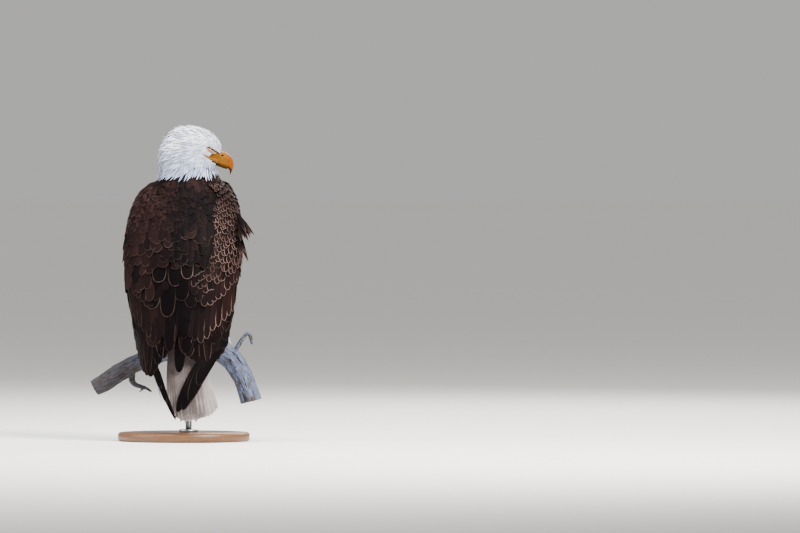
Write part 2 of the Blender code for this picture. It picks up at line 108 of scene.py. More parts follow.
def toLinear(hexColour):
    parts = [int(hexColour[i:i + 2], 16) / 255 for i in (1, 3, 5)]
    return [p / 12.92 if p <= 0.04045 else ((p + 0.055) / 1.055) ** 2.4 for p in parts] + [1.0]


def fill(tree, node, inputs):
    # Each input is a value or another node's output.
    for socket, value in inputs.items():
        if isinstance(value, bpy.types.NodeSocket):
            tree.links.new(value, node.inputs[socket])
        else:
            node.inputs[socket].default_value = value
    return node


def addNode(tree, kind, settings=None, inputs=None):
    node = tree.nodes.new("ShaderNode" + kind)
    for field, value in (settings or {}).items():
        setattr(node, field, value)
    return fill(tree, node, inputs or {})


# Short forms of the nodes that the finishes share; each gives the node's output.
def attribute(tree, name, output="Fac"):
    return addNode(tree, "Attribute", {"attribute_name": name}).outputs[output]


def objectPlace(tree):
    return addNode(tree, "TexCoord").outputs["Object"]


def mathOf(tree, operation, *values, clamp=False):
    return addNode(tree, "Math", {"operation": operation, "use_clamp": clamp},
                   dict(enumerate(values))).outputs[0]


def mixOf(tree, share, low, high, kind="MIX"):
    low, high = (toLinear(c) if isinstance(c, str) else c for c in (low, high))
    return addNode(tree, "Mix", {"data_type": "RGBA", "blend_type": kind},
                   {"Factor": share, 6: low, 7: high}).outputs[2]


def rangeOf(tree, value, fromLow, fromHigh, toLow=0.0, toHigh=1.0, smooth=False):
    return addNode(tree, "MapRange", {"interpolation_type": "SMOOTHSTEP" if smooth else "LINEAR"},
                   {"Value": value, "From Min": fromLow, "From Max": fromHigh,
                    "To Min": toLow, "To Max": toHigh}).outputs[0]


def rampOf(tree, value, *stops):
    node = addNode(tree, "ValToRGB", inputs={"Fac": value})
    placed = node.color_ramp.elements
    for k, (position, colour) in enumerate(stops):
        stop = placed[k] if k < 2 else placed.new(position)
        stop.position, stop.color = position, toLinear(colour)
    return node.outputs["Color"]


def stretched(tree, vector, scale, turn=(0, 0, 0)):
    return addNode(tree, "Mapping", inputs={"Vector": vector, "Rotation": turn,
                                            "Scale": scale}).outputs[0]


def noiseOf(tree, vector, scale=1.0, detail=2.0, roughness=0.5, distortion=0.0):
    return addNode(tree, "TexNoise", inputs={
        "Vector": vector, "Scale": scale, "Detail": detail, "Roughness": roughness,
        "Distortion": distortion}).outputs["Fac"]


def bumpOf(tree, height, strength, distance):
    return addNode(tree, "Bump", inputs={"Height": height, "Strength": strength,
                                         "Distance": distance}).outputs["Normal"]


def newMaterial(name):
    material = bpy.data.materials.new(name)
    material.use_nodes = True
    return material, material.node_tree


def shade(material, inputs):
    fill(material.node_tree, material.node_tree.nodes["Principled BSDF"], inputs)
    return material


def linked(name, data):
    piece = bpy.data.objects.new(name, data)
    bpy.context.scene.collection.objects.link(piece)
    return piece


def aimed(azimuth, elevation, distance, target):
    a, e = math.radians(azimuth), math.radians(elevation)
    back = Vector((math.sin(a) * math.cos(e), -math.cos(a) * math.cos(e), math.sin(e)))
    return target + back * distance, (-back).to_track_quat("-Z", "Y").to_euler()


def makeStudio():
    a = math.radians(studio["azimuth"])
    aim = Vector((math.cos(a), math.sin(a), 0)) * studio["aimRight"] + up * studio["aimUp"]
    place, turn = aimed(studio["azimuth"], studio["elevation"], studio["distance"], aim)
    lens = bpy.data.cameras.new("camera")
    lens.lens = studio["lens"]
    lens.clip_end = studio["clipEnd"]
    camera = linked("camera", lens)
    camera.location, camera.rotation_euler = place, turn
    bpy.context.scene.camera = camera
    for name, (azimuth, elevation, distance, size, watts, colour) in softboxes.items():
        light = bpy.data.lights.new(name, "AREA")
        light.shape = "DISK"
        light.size = size
        light.energy = watts
        light.color = toLinear(colour)[:3]
        lamp = linked(name, light)
        lamp.location, lamp.rotation_euler = aimed(azimuth, elevation, distance,
                                                   up * studio["lampAim"])
    world = bpy.data.worlds.new("studio")
    world.use_nodes = True
    tree, bright = world.node_tree, studio["worldStrength"]
    seen = addNode(tree, "LightPath").outputs["Is Camera Ray"]
    fill(tree, tree.nodes["Background"], {
        "Color": toLinear(studio["worldColour"]),
        "Strength": rangeOf(tree, seen, 0.0, 1.0, bright, bright * studio["horizonShare"])})
    bpy.context.scene.world = world
    bpy.ops.object.select_all(action="DESELECT")
    bpy.ops.mesh.primitive_plane_add(size=studio["floorSize"])
    floor = bpy.context.object
    floor.name = "floor"
    # A pale paper sweep, quite matt.
    floor.data.materials.append(shade(newMaterial("matte paper")[0], {
        "Base Color": toLinear(studio["floorColour"]), "Roughness": studio["floorRoughness"]}))


makeStudio()
print("studio ready")


# Helpers for pieces that start from a solid or a primitive.
def selectOnly(piece):
    bpy.ops.object.select_all(action="DESELECT")
    piece.select_set(True)
    bpy.context.view_layer.objects.active = piece


def modified(piece, kind, **settings):
    selectOnly(piece)
    modifier = piece.modifiers.new(kind.lower(), kind)
    for field, value in settings.items():
        setattr(modifier, field, value)
    bpy.ops.object.modifier_apply(modifier=modifier.name)
    return piece


def rebuilt(piece, voxel, factor, iterations):
    modified(piece, "REMESH", mode="VOXEL", voxel_size=voxel)
    return modified(piece, "SMOOTH", factor=factor, iterations=iterations)


def joined(name, parts):
    selectOnly(parts[0])
    for part in parts:
        part.select_set(True)
    if len(parts) > 1:
        bpy.ops.object.join()
    parts[0].name = name
    return parts[0]


def copyOf(name, *nodeNames):
    piece = joined(name, [linked(name, nodes[nodeName].data.copy()) for nodeName in nodeNames])
    bpy.ops.object.mode_set(mode="EDIT")
    bpy.ops.mesh.select_all(action="SELECT")
    bpy.ops.mesh.remove_doubles(threshold=1e-5)
    bpy.ops.object.mode_set(mode="OBJECT")
    return piece


def finished(piece, material, slot, *replaced):
    piece.data.materials.clear()
    piece.data.materials.append(material)
    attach(piece, "root")
    if replaced:
        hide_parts(*replaced)


def newBall(name, segments, rings):
    bpy.ops.object.select_all(action="DESELECT")
    bpy.ops.mesh.primitive_uv_sphere_add(segments=segments, ring_count=rings, radius=1.0)
    bpy.context.object.name = name
    return bpy.context.object


def unit(vectors):
    return vectors / np.maximum(np.linalg.norm(vectors, axis=-1, keepdims=True), 1e-9)


def corners(mesh, field="co"):
    values = np.empty(len(mesh.vertices) * 3)
    mesh.vertices.foreach_get(field, values)
    return values.reshape(-1, 3)


def setCorners(mesh, points):
    mesh.vertices.foreach_set("co", points.ravel())
    mesh.update()


def treeOf(piece):
    faces = [tuple(face.vertices) for face in piece.data.polygons]
    return BVHTree.FromPolygons([v.co for v in piece.data.vertices], faces)


def paintPoints(mesh, name, values, kind="FLOAT_COLOR"):
    layer = mesh.attributes.new(name, kind, "POINT")
    field = {"FLOAT_COLOR": "color", "FLOAT_VECTOR": "vector", "FLOAT": "value"}[kind]
    layer.data.foreach_set(field, np.asarray(values, np.float32).ravel())


def tinted(colours, hexColour, share):
    # Mixes one colour into each point's own, by a share for each point.
    colours += (np.array(toLinear(hexColour)) - colours) * share[:, None]


# Skin: one skin under the whole coat, in the coat's own colours so no gap shows.
skinPlan = {
    "voxel": 0.0028,
    "bodyDepth": 0.0055,  # how far it lies inside the solids
    "headDepth": 0.0035,
    "faceDepth": 0.0008,
    "share": 0.35,  # the most it sinks, as a share of what is behind it
    "whiteFrom": 0.674,  # height of the white feathers' lowest roots
    "bill": ((0.062, -0.002, 0.012), (0.062, -0.002, -0.012), (0.060, -0.018, 0.0)),
    "face": (0.014, 0.045),  # how near the eyes and the bill the face begins and ends
    "fineFrom": 0.79,  # faces that are this near are made smaller
}
flesh = ("trunk", "neck", "head", "wing_left", "wing_right", "thigh_left", "thigh_right")


def faceNearness(points):
    # 1 at the eyes and bill, 0 from a few centimetres off them.
    marks = [*eyeSpots.values()] + [np.array(headPoint(*mark)) for mark in skinPlan["bill"]]
    gap = np.min([np.linalg.norm(points - mark, axis=1) for mark in marks], axis=0)
    return 1 - blend(*skinPlan["face"], gap)


# Eyes: the real depth of a ball in its socket, half closed by the lids.
eyePlan = {
    "radius": 0.0120,
    "gaze": (0.42, -0.16, 0.90),  # forward, up and out
    "slitTilt": -30.0,  # degrees, down towards the bill
    "slitHalf": 68.0,  # half its length, in degrees round the ball
    "slitBack": 12.0,  # how far its middle lies behind the gaze
    "upperEdge": 9.0,  # heights of the lids' edges over the gaze, in degrees
    "lowerEdge": -4.0,
    "bow": 2.2,  # how round the slit's middle is
    "drop": 4.0,  # how far down its ends lie, in degrees
    "cover": 0.0011,  # how far the skin lies over the ball
    "hollow": 0.0022,  # how far inside the ball it lies behind the slit
    "orbit": 0.0185,  # how far from the ball's middle it is shaped
    "brow": (0.0030, 29.0, 13.0),  # height over the ball, rise and width in degrees
    "cheek": (0.0006, -48.0, 16.0),
}


def eyeFrame(side):
    # Outward gaze, along the slit towards the bill, and across it.
    out = faceLeft if side == "left" else -faceLeft
    forward, rise, aside = eyePlan["gaze"]
    gaze = (face * forward + up * rise + out * aside).normalized()
    tilt = math.radians(eyePlan["slitTilt"])
    along = face * math.cos(tilt) + up * math.sin(tilt)
    along = (along - gaze * along.dot(gaze)).normalized()
    across = along.cross(gaze)
    return gaze, along, across if across.z > 0 else -across


def onBall(side, turn, rise, radius):
    # A place by its angles along the slit and across it.
    gaze, along, across = eyeFrame(side)
    a, b = math.radians(turn - eyePlan["slitBack"]), math.radians(rise)
    way = (gaze * math.cos(a) + along * math.sin(a)) * math.cos(b) + across * math.sin(b)
    return middle("eye_" + side) + way * radius


def fillSockets(skin):
    # Closes each socket with a ball a little larger than the eye.
    parts = [skin]
    for side in sides:
        ball = newBall("socket", 32, 24)
        radius = eyePlan["radius"] + eyePlan["cover"] + 0.001
        setCorners(ball.data, corners(ball.data) * radius + eyeSpots[side])
        parts.append(ball)
    return joined(skin.name, parts)


def refineFace(skin):
    # Smaller faces round the eyes and back from the bill, for lids, folds and colours.
    near = faceNearness(corners(skin.data)) > skinPlan["fineFrom"]
    mesh = skin.data
    chosen = [all(near[k] for k in face.vertices) for face in mesh.polygons]
    selectOnly(skin)
    mesh.polygons.foreach_set("select", chosen)
    bpy.ops.object.mode_set(mode="EDIT")
    bpy.ops.mesh.select_mode(type="FACE")
    bpy.ops.object.mode_set(mode="OBJECT")
    mesh.polygons.foreach_set("select", chosen)
    bpy.ops.object.mode_set(mode="EDIT")
    bpy.ops.mesh.subdivide(number_cuts=2, smoothness=0.6)
    bpy.ops.object.mode_set(mode="OBJECT")


def offSlit(points, side):
    # Places round the eye, in degrees along the slit and across it.
    gaze, along, across = (np.array(v) for v in eyeFrame(side))
    way = unit(points - eyeSpots[side])
    rise = np.degrees(np.arcsin(np.clip(way @ across, -1, 1)))
    return np.degrees(np.arctan2(way @ along, way @ gaze)) + eyePlan["slitBack"], rise


def openSlit(points, side, margin):
    # True inside the open slit between the lids.
    turn, rise = offSlit(points, side)
    half, drop = eyePlan["slitHalf"] + margin, eyePlan["drop"]
    bend = np.clip(1 - np.abs(turn / half) ** eyePlan["bow"], 0, 1)
    high = eyePlan["upperEdge"] * bend - drop * (1 - bend) + margin
    low = eyePlan["lowerEdge"] * bend - drop * (1 - bend) - margin
    return (np.abs(turn) < half) & (rise < high) & (rise > low)


def shapeOrbits(points):
    # The skin fits over each eyeball, opens at the slit and swells into a brow above it.
    for side, centre in eyeSpots.items():
        gap = points - centre
        reach = np.linalg.norm(gap, axis=1)
        turn, rise = offSlit(points, side)
        cover = eyePlan["radius"] + eyePlan["cover"]
        held = np.where(reach < cover + 0.0010, cover, reach)
        for (height, middleRise, wide), ends in ((eyePlan["brow"], (45, 85)),
                                                 (eyePlan["cheek"], (40, 90))):
            swell = np.exp(-((rise - middleRise) / wide) ** 2) * (1 - blend(*ends, np.abs(turn)))
            held = held + height * swell
        held = np.where(openSlit(points, side, 1.5), eyePlan["radius"] - eyePlan["hollow"], held)
        outside = gap @ np.array(eyeFrame(side)[0]) > -0.002
        near = outside & (reach < eyePlan["orbit"])
        points = np.where(near[:, None], centre + unit(gap) * held[:, None], points)
    return points


def makeSkin():
    skin = fillSockets(copyOf("eagleSkin", *flesh))
    rebuilt(skin, skinPlan["voxel"], 0.5, 4)
    tree = treeOf(skin)
    points, normals = corners(skin.data), corners(skin.data, "normal")
    near = faceNearness(points)
    onHead = blend(neckBase - 0.01, neckBase + 0.04, points[:, 2])
    depth = skinPlan["bodyDepth"] + (skinPlan["headDepth"] - skinPlan["bodyDepth"]) * onHead
    depth += (skinPlan["faceDepth"] - depth) * near
    for i, (point, normal) in enumerate(zip(points.copy(), normals)):
        room = tree.ray_cast(Vector(point - normal * 1e-4), Vector(-normal))[3] or 1.0
        points[i] = point - normal * min(depth[i], room * skinPlan["share"])
    setCorners(skin.data, points)
    modified(skin, "SMOOTH", factor=0.5, iterations=2)
    refineFace(skin)
    modified(skin, "SMOOTH", factor=0.5, iterations=2)
    setCorners(skin.data, shapeOrbits(corners(skin.data)))
    skin.data.shade_smooth()
    return skin


skin = makeSkin()
skinTree = treeOf(skin)

lidPlan = {
    # edge and reach in degrees over the gaze, folds across the lid, and how far its tint runs
    # The upper lid's tint stays near its dark edge colour: painted shadow of the brow over it.
    True: {"edge": eyePlan["upperEdge"], "reach": 13.0, "folds": 12, "tint": 0.18},
    False: {"edge": eyePlan["lowerEdge"], "reach": -38.0, "folds": 34, "tint": 1.0},
    "columns": 41,
    "rows": 22,
    "gap": 0.0003,
    "thick": 0.0008,
    "swell": 0.0007,
    "fold": 0.00022,
    "sink": 0.0026,
}


def makeLid(side, upper):
    # From the slit's edge outwards over the ball, then down into the skin.
    lid, columns, rows = lidPlan[upper], lidPlan["columns"], lidPlan["rows"]
    points, tints = [], []
    for i in range(columns):
        share = -1 + 2 * i / (columns - 1)
        bend = max(0.0, 1 - abs(share) ** eyePlan["bow"])
        for j in range(rows):
            reach = j / (rows - 1)
            rise = (lid["edge"] * bend - eyePlan["drop"] * (1 - bend)
                    + lid["reach"] * reach * (0.35 + 0.65 * bend))
            turn = share * eyePlan["slitHalf"] * (1 + 0.10 * reach)
            swell = lidPlan["gap"] + lidPlan["thick"] * 1.4 + lidPlan["swell"] * math.sin(
                math.pi * min(1.0, reach * 1.3))
            ripple = math.sin(reach * lid["folds"] + 2.0 * share) * lidPlan["fold"]
            sink = lidPlan["sink"] * reach ** 5
            radius = eyePlan["radius"] + swell + ripple * bend - sink
            points.append(onBall(side, turn, rise, radius))
            tints.append(reach * lid["tint"])
    mesh = bpy.data.meshes.new("lid")
    faces = [(i * rows + j, (i + 1) * rows + j, (i + 1) * rows + j + 1, i * rows + j + 1)
             for i in range(columns - 1) for j in range(rows - 1)]
    mesh.from_pydata(points, [], faces)
    paintPoints(mesh, "reach", tints, "FLOAT")
    centre = mesh.polygons[len(faces) // 2]
    if (Vector(centre.normal).dot(Vector(centre.center) - middle("eye_" + side))) < 0:
        mesh.flip_normals()
    return modified(linked("lid", mesh), "SOLIDIFY", thickness=lidPlan["thick"] * 1.2, offset=-1.0)


lids = joined("eyelids", [makeLid(side, upper) for side in sides for upper in (True, False)])
lids.data.shade_smooth()
print("skin", len(skin.data.polygons), "faces")


# Feathers. Each is a closed thin vane whose middle line lies along the skin.
featherPlans = {
    # reach: how far along each row of points is; breadth: its share of the full width
    "hackle": {"reach": (0, 0.2, 0.45, 0.7, 0.88, 1), "breadth": (0.5, 0.95, 1, 0.72, 0.38, 0.04),
               "columns": 3, "arch": 0.30, "thick": 0.0003},
    "contour": {"reach": (0, 0.3, 0.55, 0.75, 0.9, 0.97, 1),
                "breadth": (0.4, 0.8, 1, 0.97, 0.72, 0.42, 0.06),
                "columns": 5, "arch": 0.22, "thick": 0.0004},
    "covert": {"reach": (0, 0.35, 0.62, 0.8, 0.91, 0.97, 1),
               "breadth": (0.4, 0.85, 1, 0.96, 0.76, 0.46, 0.08),
               "columns": 5, "arch": 0.20, "thick": 0.0004},
    "flight": {"reach": (0, 0.1, 0.2, 0.3, 0.4, 0.5, 0.6, 0.7, 0.8, 0.87, 0.93, 0.97, 0.99, 1),
               "breadth": (0.3, 0.6, 0.85, 0.95, 1, 1, 1, 0.99, 0.96, 0.9, 0.76, 0.54, 0.32, 0.05),
               "columns": 7, "arch": 0.10, "thick": 0.0006},
    "tail": {"reach": (0, 0.15, 0.3, 0.45, 0.6, 0.75, 0.86, 0.93, 0.965, 0.985, 1),
             "breadth": (0.35, 0.7, 0.88, 0.96, 1, 1, 1, 0.97, 0.88, 0.68, 0.3),
             "columns": 7, "arch": 0.08, "thick": 0.0006},
    "primary": {"reach": (0, 0.1, 0.2, 0.3, 0.4, 0.5, 0.6, 0.7, 0.8, 0.87, 0.93, 0.97, 0.99, 1),
                "breadth": (0.5, 0.8, 0.95, 1, 1, 0.97, 0.92, 0.85, 0.76, 0.66, 0.52, 0.34, 0.2,
                            0.04),
                "columns": 7, "arch": 0.10, "thick": 0.0006},
}


def layLines(roots, ways, lengths, kind, leave=0.5):
    # Middle lines from the roots that follow the skin, and run straight on where it ends.
    reach = featherPlans[kind]["reach"]
    lines = np.empty((len(roots), len(reach), 3))
    normals = np.empty_like(lines)
    for i in range(len(roots)):
        here, normal = skinTree.find_nearest(Vector(roots[i]))[:2]
        way = Vector(ways[i])
        way = (way - normal * way.dot(normal)).normalized()
        lines[i, 0], normals[i, 0] = here, normal
        for step in range(1, len(reach)):
            stride = (reach[step] - reach[step - 1]) * lengths[i]
            aim = here + way * stride
            hit, newNormal = skinTree.find_nearest(aim)[:2]
            if (hit - here).dot(way) > stride * leave:
                normal = (normal + newNormal * 1.5).normalized()
                way = (way - normal * way.dot(normal)).normalized()
                here = hit
            else:
                here = aim
            lines[i, step], normals[i, step] = here, normal
    return lines, normals


def freeCells(places, cell):
    # Gives each root a patch of its own on the unwrapped skin, near its own place.
    taken, chosen = set(), []
    top = int(1 / cell) - 1
    for u, v in places:
        column, row = int(np.clip(u / cell, 0, top)), int(np.clip(v / cell, 0, top))
        reach = 0
        while True:
            ring = [(column + i, row + j) for i in range(-reach, reach + 1)
                    for j in range(-reach, reach + 1) if max(abs(i), abs(j)) == reach]
            free = [c for c in ring if c not in taken and 0 <= min(c) and max(c) <= top]
            if free:
                taken.add(free[0])
                chosen.append(free[0])
                break
            reach += 1
    return np.array(chosen) * cell


unwrapPlan = {"from": 0.05, "height": 0.77, "margin": 0.08}  # margin: round each feather's patch


def angleOf(points):
    # Turn round the bird's upright axis, from its back, in radians.
    return np.arctan2(points[:, 0], axisBack - points[:, 1])


def unwrapped(points):
    # The skin's unwrap: turn round the axis, and height.
    height = (points[:, 2] - unwrapPlan["from"]) / unwrapPlan["height"]
    return np.stack([angleOf(points) / math.tau + 0.5, height], axis=1)


def vanes(name, lines, normals, widths, lifts, marks, kind, cell):
    # Closed vanes over all middle lines at once: rows along each feather, columns across it.
    # Each feather has a width, lifts at root and tip, and marks: tone, pale edge, cool shade.
    plan = featherPlans[kind]
    count, rows = lines.shape[:2]
    columns = plan["columns"]
    widths = np.broadcast_to(widths, count)
    reach = np.array(plan["reach"])
    along = unit(np.gradient(lines, axis=1))
    across = unit(np.cross(normals, along))
    outward = np.cross(along, across)
    half = widths[:, None] / 2 * np.array(plan["breadth"])[None, :]
    step = np.linspace(-1, 1, columns)
    offset = half[:, :, None] * step
    lift = lifts[:, :1] + (lifts[:, 1:] - lifts[:, :1]) * reach[None, :]
    sag = plan["arch"] * half[:, :, None] * step ** 2
    top = (lines[:, :, None, :] + across[:, :, None, :] * offset[..., None]
           + outward[:, :, None, :] * (lift[:, :, None] - sag)[..., None])
    under = (top - outward[:, :, None, :] * plan["thick"])[:, 1:-1, 1:-1]
    each = rows * columns + (rows - 2) * (columns - 2)
    points = np.concatenate([top.reshape(count, -1, 3), under.reshape(count, -1, 3)], axis=1)
    topIndex = np.arange(rows * columns).reshape(rows, columns)
    underIndex = topIndex.copy()
    underIndex[1:-1, 1:-1] = (np.arange((rows - 2) * (columns - 2)) + rows * columns).reshape(
        rows - 2, columns - 2)

    def quads(index):
        a, b, c, d = index[:-1, :-1], index[:-1, 1:], index[1:, 1:], index[1:, :-1]
        return np.stack((a, b, c, d), axis=-1).reshape(-1, 4)

    oneSet = np.concatenate([quads(topIndex), quads(underIndex)[:, (0, 3, 2, 1)]])
    faces = (oneSet[None] + (np.arange(count) * each)[:, None, None]).reshape(-1, 4)

    mesh = bpy.data.meshes.new(name)
    mesh.vertices.add(count * each)
    mesh.vertices.foreach_set("co", points.ravel())
    mesh.loops.add(faces.size)
    mesh.loops.foreach_set("vertex_index", faces.ravel().astype(np.int32))
    mesh.polygons.add(len(faces))
    mesh.polygons.foreach_set("loop_start", np.arange(0, faces.size, 4, dtype=np.int32))

    lengths = np.linalg.norm(np.diff(lines, axis=1), axis=2).sum(axis=1)
    forward = np.broadcast_to((reach[None, :] * lengths[:, None])[:, :, None], offset.shape)
    rim = np.minimum(half[:, :, None] * (1 - np.abs(step)),
                     ((1 - reach)[None, :] * lengths[:, None])[:, :, None])

    def perPoint(grid):
        grid = np.broadcast_to(grid, (*offset.shape, grid.shape[-1]))
        return np.concatenate([part.reshape(count, -1, grid.shape[-1])
                               for part in (grid, grid[:, 1:-1, 1:-1])], axis=1)

    tones = np.ones((count, rows, 1, 4))
    tones[..., :3] = marks[:, None, None, :]
    tones[..., 1] *= blend(0.5, 0.95, reach)[None, :, None]  # the pale edge is at the tip
    paintPoints(mesh, "tone", perPoint(tones))
    paintPoints(mesh, "rim", perPoint(rim[..., None]), "FLOAT")

    def unwrap(uvName, grid):
        layer = mesh.uv_layers.new(name=uvName)
        flat = perPoint(grid).reshape(-1, 2)[faces.ravel()]
        layer.data.foreach_set("uv", flat.astype(np.float32).ravel())

    unwrap("vane", np.stack([offset, forward], axis=-1))
    patch, margin = freeCells(unwrapped(lines[:, 0]), cell), unwrapPlan["margin"]
    square = np.stack(np.broadcast_arrays(step * (0.5 - margin) + 0.5,
                                          (reach * (1 - 2 * margin) + margin)[:, None]), axis=-1)
    unwrap("OFBake", patch[:, None, None, :] + square * cell)
    mesh.update(calc_edges=True)
    mesh.shade_smooth()
    mesh.set_sharp_from_angle(angle=math.radians(70))
    return linked(name, mesh)


def turned(ways, normals, degrees):
    # Each way turned a little about its normal, so that no two feathers lie quite alike.
    angle = np.radians(degrees)[:, None]
    return ways * np.cos(angle) + np.cross(normals, ways) * np.sin(angle)


def scatter(piece, spacing, tries):
    # Roots spread over a skin, none nearer another than spacing(points) asks there.
    mesh = piece.data
    mesh.calc_loop_triangles()
    points = corners(mesh)
    index = np.array([t.vertices for t in mesh.loop_triangles])
    a, b, c = (points[index[:, k]] for k in range(3))
    cross = np.cross(b - a, c - a)
    area = np.linalg.norm(cross, axis=1)
    normals = unit(cross)
    gaps = spacing((a + b + c) / 3)
    weight = np.where(gaps > 0, area / np.maximum(gaps, 1e-4) ** 2, 0)
    picked = chance.choice(len(index), size=int(min(tries, weight.sum() * 5)),
                           p=weight / weight.sum())
    r, s = np.sqrt(chance.random(len(picked))), chance.random(len(picked))
    spots = (a[picked] * (1 - r)[:, None] + b[picked] * (r * (1 - s))[:, None]
             + c[picked] * (r * s)[:, None])
    tree = KDTree(len(spots))
    for i, spot in enumerate(spots):
        tree.insert(spot, i)
    tree.balance()
    free, kept = np.ones(len(spots), bool), []
    for i, spot in enumerate(spots):
        if free[i]:
            kept.append(i)
            for _, j, _ in tree.find_range(spot, gaps[picked[i]]):
                free[j] = False
    return spots[kept], normals[picked[kept]]


def varied(count, low, high):
    return low + (high - low) * chance.random(count)


def perFeather(count, *values):
    # One row of values for each feather, from lists or single numbers.
    return np.stack([np.broadcast_to(value, count) for value in values], axis=1)


def featherFinish(name, look):
    # Keratin barbs, matt and slightly ribbed: a shaft, slanting barbs and a paler worn rim.
    material, tree = newMaterial(name)
    tones = addNode(tree, "SeparateColor", inputs={
        "Color": attribute(tree, "tone", "Color")}).outputs
    split = addNode(tree, "SeparateXYZ", inputs={
        "Vector": addNode(tree, "UVMap", {"uv_map": "vane"}).outputs["UV"]}).outputs
    offset = mathOf(tree, "ABSOLUTE", split["X"])
    slant = mathOf(tree, "MULTIPLY_ADD", offset, -look["slant"], split["Y"])
    barbs = addNode(tree, "CombineXYZ", inputs={
        "X": slant, "Y": split["X"], "Z": tones["Red"]}).outputs[0]
    barbScale = (1 / look["barb"], 1 / look["barbRun"], 40.0)
    streaks = noiseOf(tree, stretched(tree, barbs, barbScale), roughness=0.6)
    patches = noiseOf(tree, objectPlace(tree), 1 / look["patch"], 3.0)
    depth = tones["Red"]
    for noisy, most in ((streaks, look["streak"]), (patches, look["uneven"])):
        share = mathOf(tree, "MULTIPLY_ADD", noisy, most, -most / 2, clamp=True)
        depth = mathOf(tree, "ADD", depth, share, clamp=True)
    body = mixOf(tree, depth, look["deep"], look["main"])
    cool = mixOf(tree, tones["Blue"], body, look["cool"])
    ragged = mathOf(tree, "MULTIPLY_ADD", streaks, look["edge"] * 0.9, attribute(tree, "rim"))
    border = rangeOf(tree, ragged, look["edge"] * 2.3, look["edge"] * 0.6, smooth=True)
    worn = mathOf(tree, "MULTIPLY", rangeOf(tree, patches, 0.35, 0.62, 0.35, 1.15), tones["Green"])
    edged = mathOf(tree, "MULTIPLY", border, worn, clamp=True)
    bordered = mixOf(tree, edged, cool, look["pale"])
    shaft = rangeOf(tree, offset, look["shaft"], look["shaft"] * 0.3, 0.0, look["shaftShow"],
                    smooth=True)
    return shade(material, {
        "Base Color": mixOf(tree, shaft, bordered, look["shaftColour"]),
        "Normal": bumpOf(tree, mathOf(tree, "ADD", streaks, shaft), look["bump"], 0.0006),
        "Roughness": look["rough"], "Specular IOR Level": look["gloss"],
        "Sheen Weight": look["sheen"], "Sheen Roughness": 0.5})


# The white feathers' bluish deep and cool tones are painted shade: darker strands and clumps, and
# the shaded cheek, nape and lower hackles.
whiteLook = {"deep": "#5f6c88", "main": "#ecf0f9", "cool": "#667699", "pale": "#ffffff",
             "edge": 0.0008, "barb": 0.0018, "barbRun": 0.014, "slant": 0.8, "patch": 0.011,
             "streak": 0.8, "uneven": 0.55, "shaft": 0.0004, "shaftShow": 0.35,
             "shaftColour": "#d6d8dc", "bump": 0.4, "rough": 0.8, "gloss": 0.2, "sheen": 0.05}
brownLook = {"deep": "#020101", "main": "#261716", "cool": "#030204", "pale": "#836c67",
             "edge": 0.0011, "barb": 0.0014, "barbRun": 0.014, "slant": 0.8, "patch": 0.045,
             "streak": 0.55, "uneven": 0.6, "shaft": 0.0006, "shaftShow": 0.5,
             "shaftColour": "#040202", "bump": 0.45, "rough": 0.55, "gloss": 0.03, "sheen": 0.0}
# The tail's white is darkened and greyed: partly wear, partly painted shade from the wings over it.
tailLook = dict(whiteLook, deep="#2a2221", main="#8a8285", cool="#3a302c", pale="#a39b9b",
                edge=0.0035, streak=0.9, uneven=0.8, patch=0.03, shaft=0.0007, shaftShow=0.3,
                shaftColour="#8d8487")
whiteVane = featherFinish("white barbed feather", whiteLook)
tailVane = featherFinish("worn white tail feather with painted shade", tailLook)
brownVane = featherFinish("brown barbed feather", brownLook)


# Skin finish: the coat's own colours, bare yellow skin before the eyes, and a brow line of dark
# skin with painted shadow.
skinLook = {"white": "#b9c0cc", "brown": "#120b09", "gape": "#643f06", "lore": "#3d2a14",
            "brow": "#1d150c", "mouth": "#1c0d06"}
lidLook = {"edge": "#120b09", "main": "#8f7269", "far": "#5c453b"}


paintPlan = {
    # distances over which each colour fades in
    "white": (0.006, 0.014),  # over the white feathers' lowest roots
    "loreTop": 0.003,
    "loreFoot": (-0.003, 0.0),
    "loreBack": (-0.002, 0.001),
    "gape": (-0.0012, 0.0014),
    "yellow": (0.004, -0.004, 0.4, 0.060),  # under a line: its slope, and where it is level
    # brow: a dark line under the brow, partly dark skin and partly painted shadow of the brow
    "brow": (0.0022, 0.0008, 0.0012),  # round a line that far over the bare patch
    "browShadowFrom": (0.050, 0.054),
    "mouth": (0.0023, 0.0012),
    "mouthFrom": (0.050, 0.053),
}


def colourSkin():
    plan, points = paintPlan, corners(skin.data)
    f, u, _ = headPlace(points)
    white = blend(*(skinPlan["whiteFrom"] + over for over in plan["white"]), points[:, 2])[:, None]
    colours = (np.array(toLinear(skinLook["brown"])) * (1 - white)
               + np.array(toLinear(skinLook["white"])) * white)
    lore = (blend(loreTop(f) + plan["loreTop"], loreTop(f), u)
            * blend(*plan["loreFoot"], u - gapeHeight(f))
            * blend(*plan["loreBack"], f - loreBack(u)))
    start, end, slope, level = plan["yellow"]
    yellow = lore * blend(start, end, u - slope * (f - level))
    gape = np.maximum(1 - blend(*plan["gape"], offGape(points)), yellow)
    wide, narrow, over = plan["brow"]
    # Dark line under the brow: partly dark skin, partly painted shadow of the brow.
    brow = blend(wide, narrow, np.abs(u - loreTop(f) - over)) * blend(*plan["browShadowFrom"], f)
    mouth = blend(*plan["mouth"], np.abs(offMouth(points))) * blend(*plan["mouthFrom"], f)
    for name, share in (("lore", lore), ("gape", gape), ("brow", brow), ("mouth", mouth)):
        tinted(colours, skinLook[name], share)
    for side in sides:
        tinted(colours, lidLook["main"], bareLid(points, side))
    paintPoints(skin.data, "coat", colours)


def skinFinish():
    # Bare skin between the feathers: matt, finely pebbled.
    material, tree = newMaterial("bird skin")
    return shade(material, {
        "Base Color": attribute(tree, "coat", "Color"),
        "Normal": bumpOf(tree, noiseOf(tree, objectPlace(tree), 900.0), 0.3, 0.0005),
        "Roughness": 0.8, "Specular IOR Level": 0.04})


finished(skin, skinFinish(), "brown_feathers", *flesh)


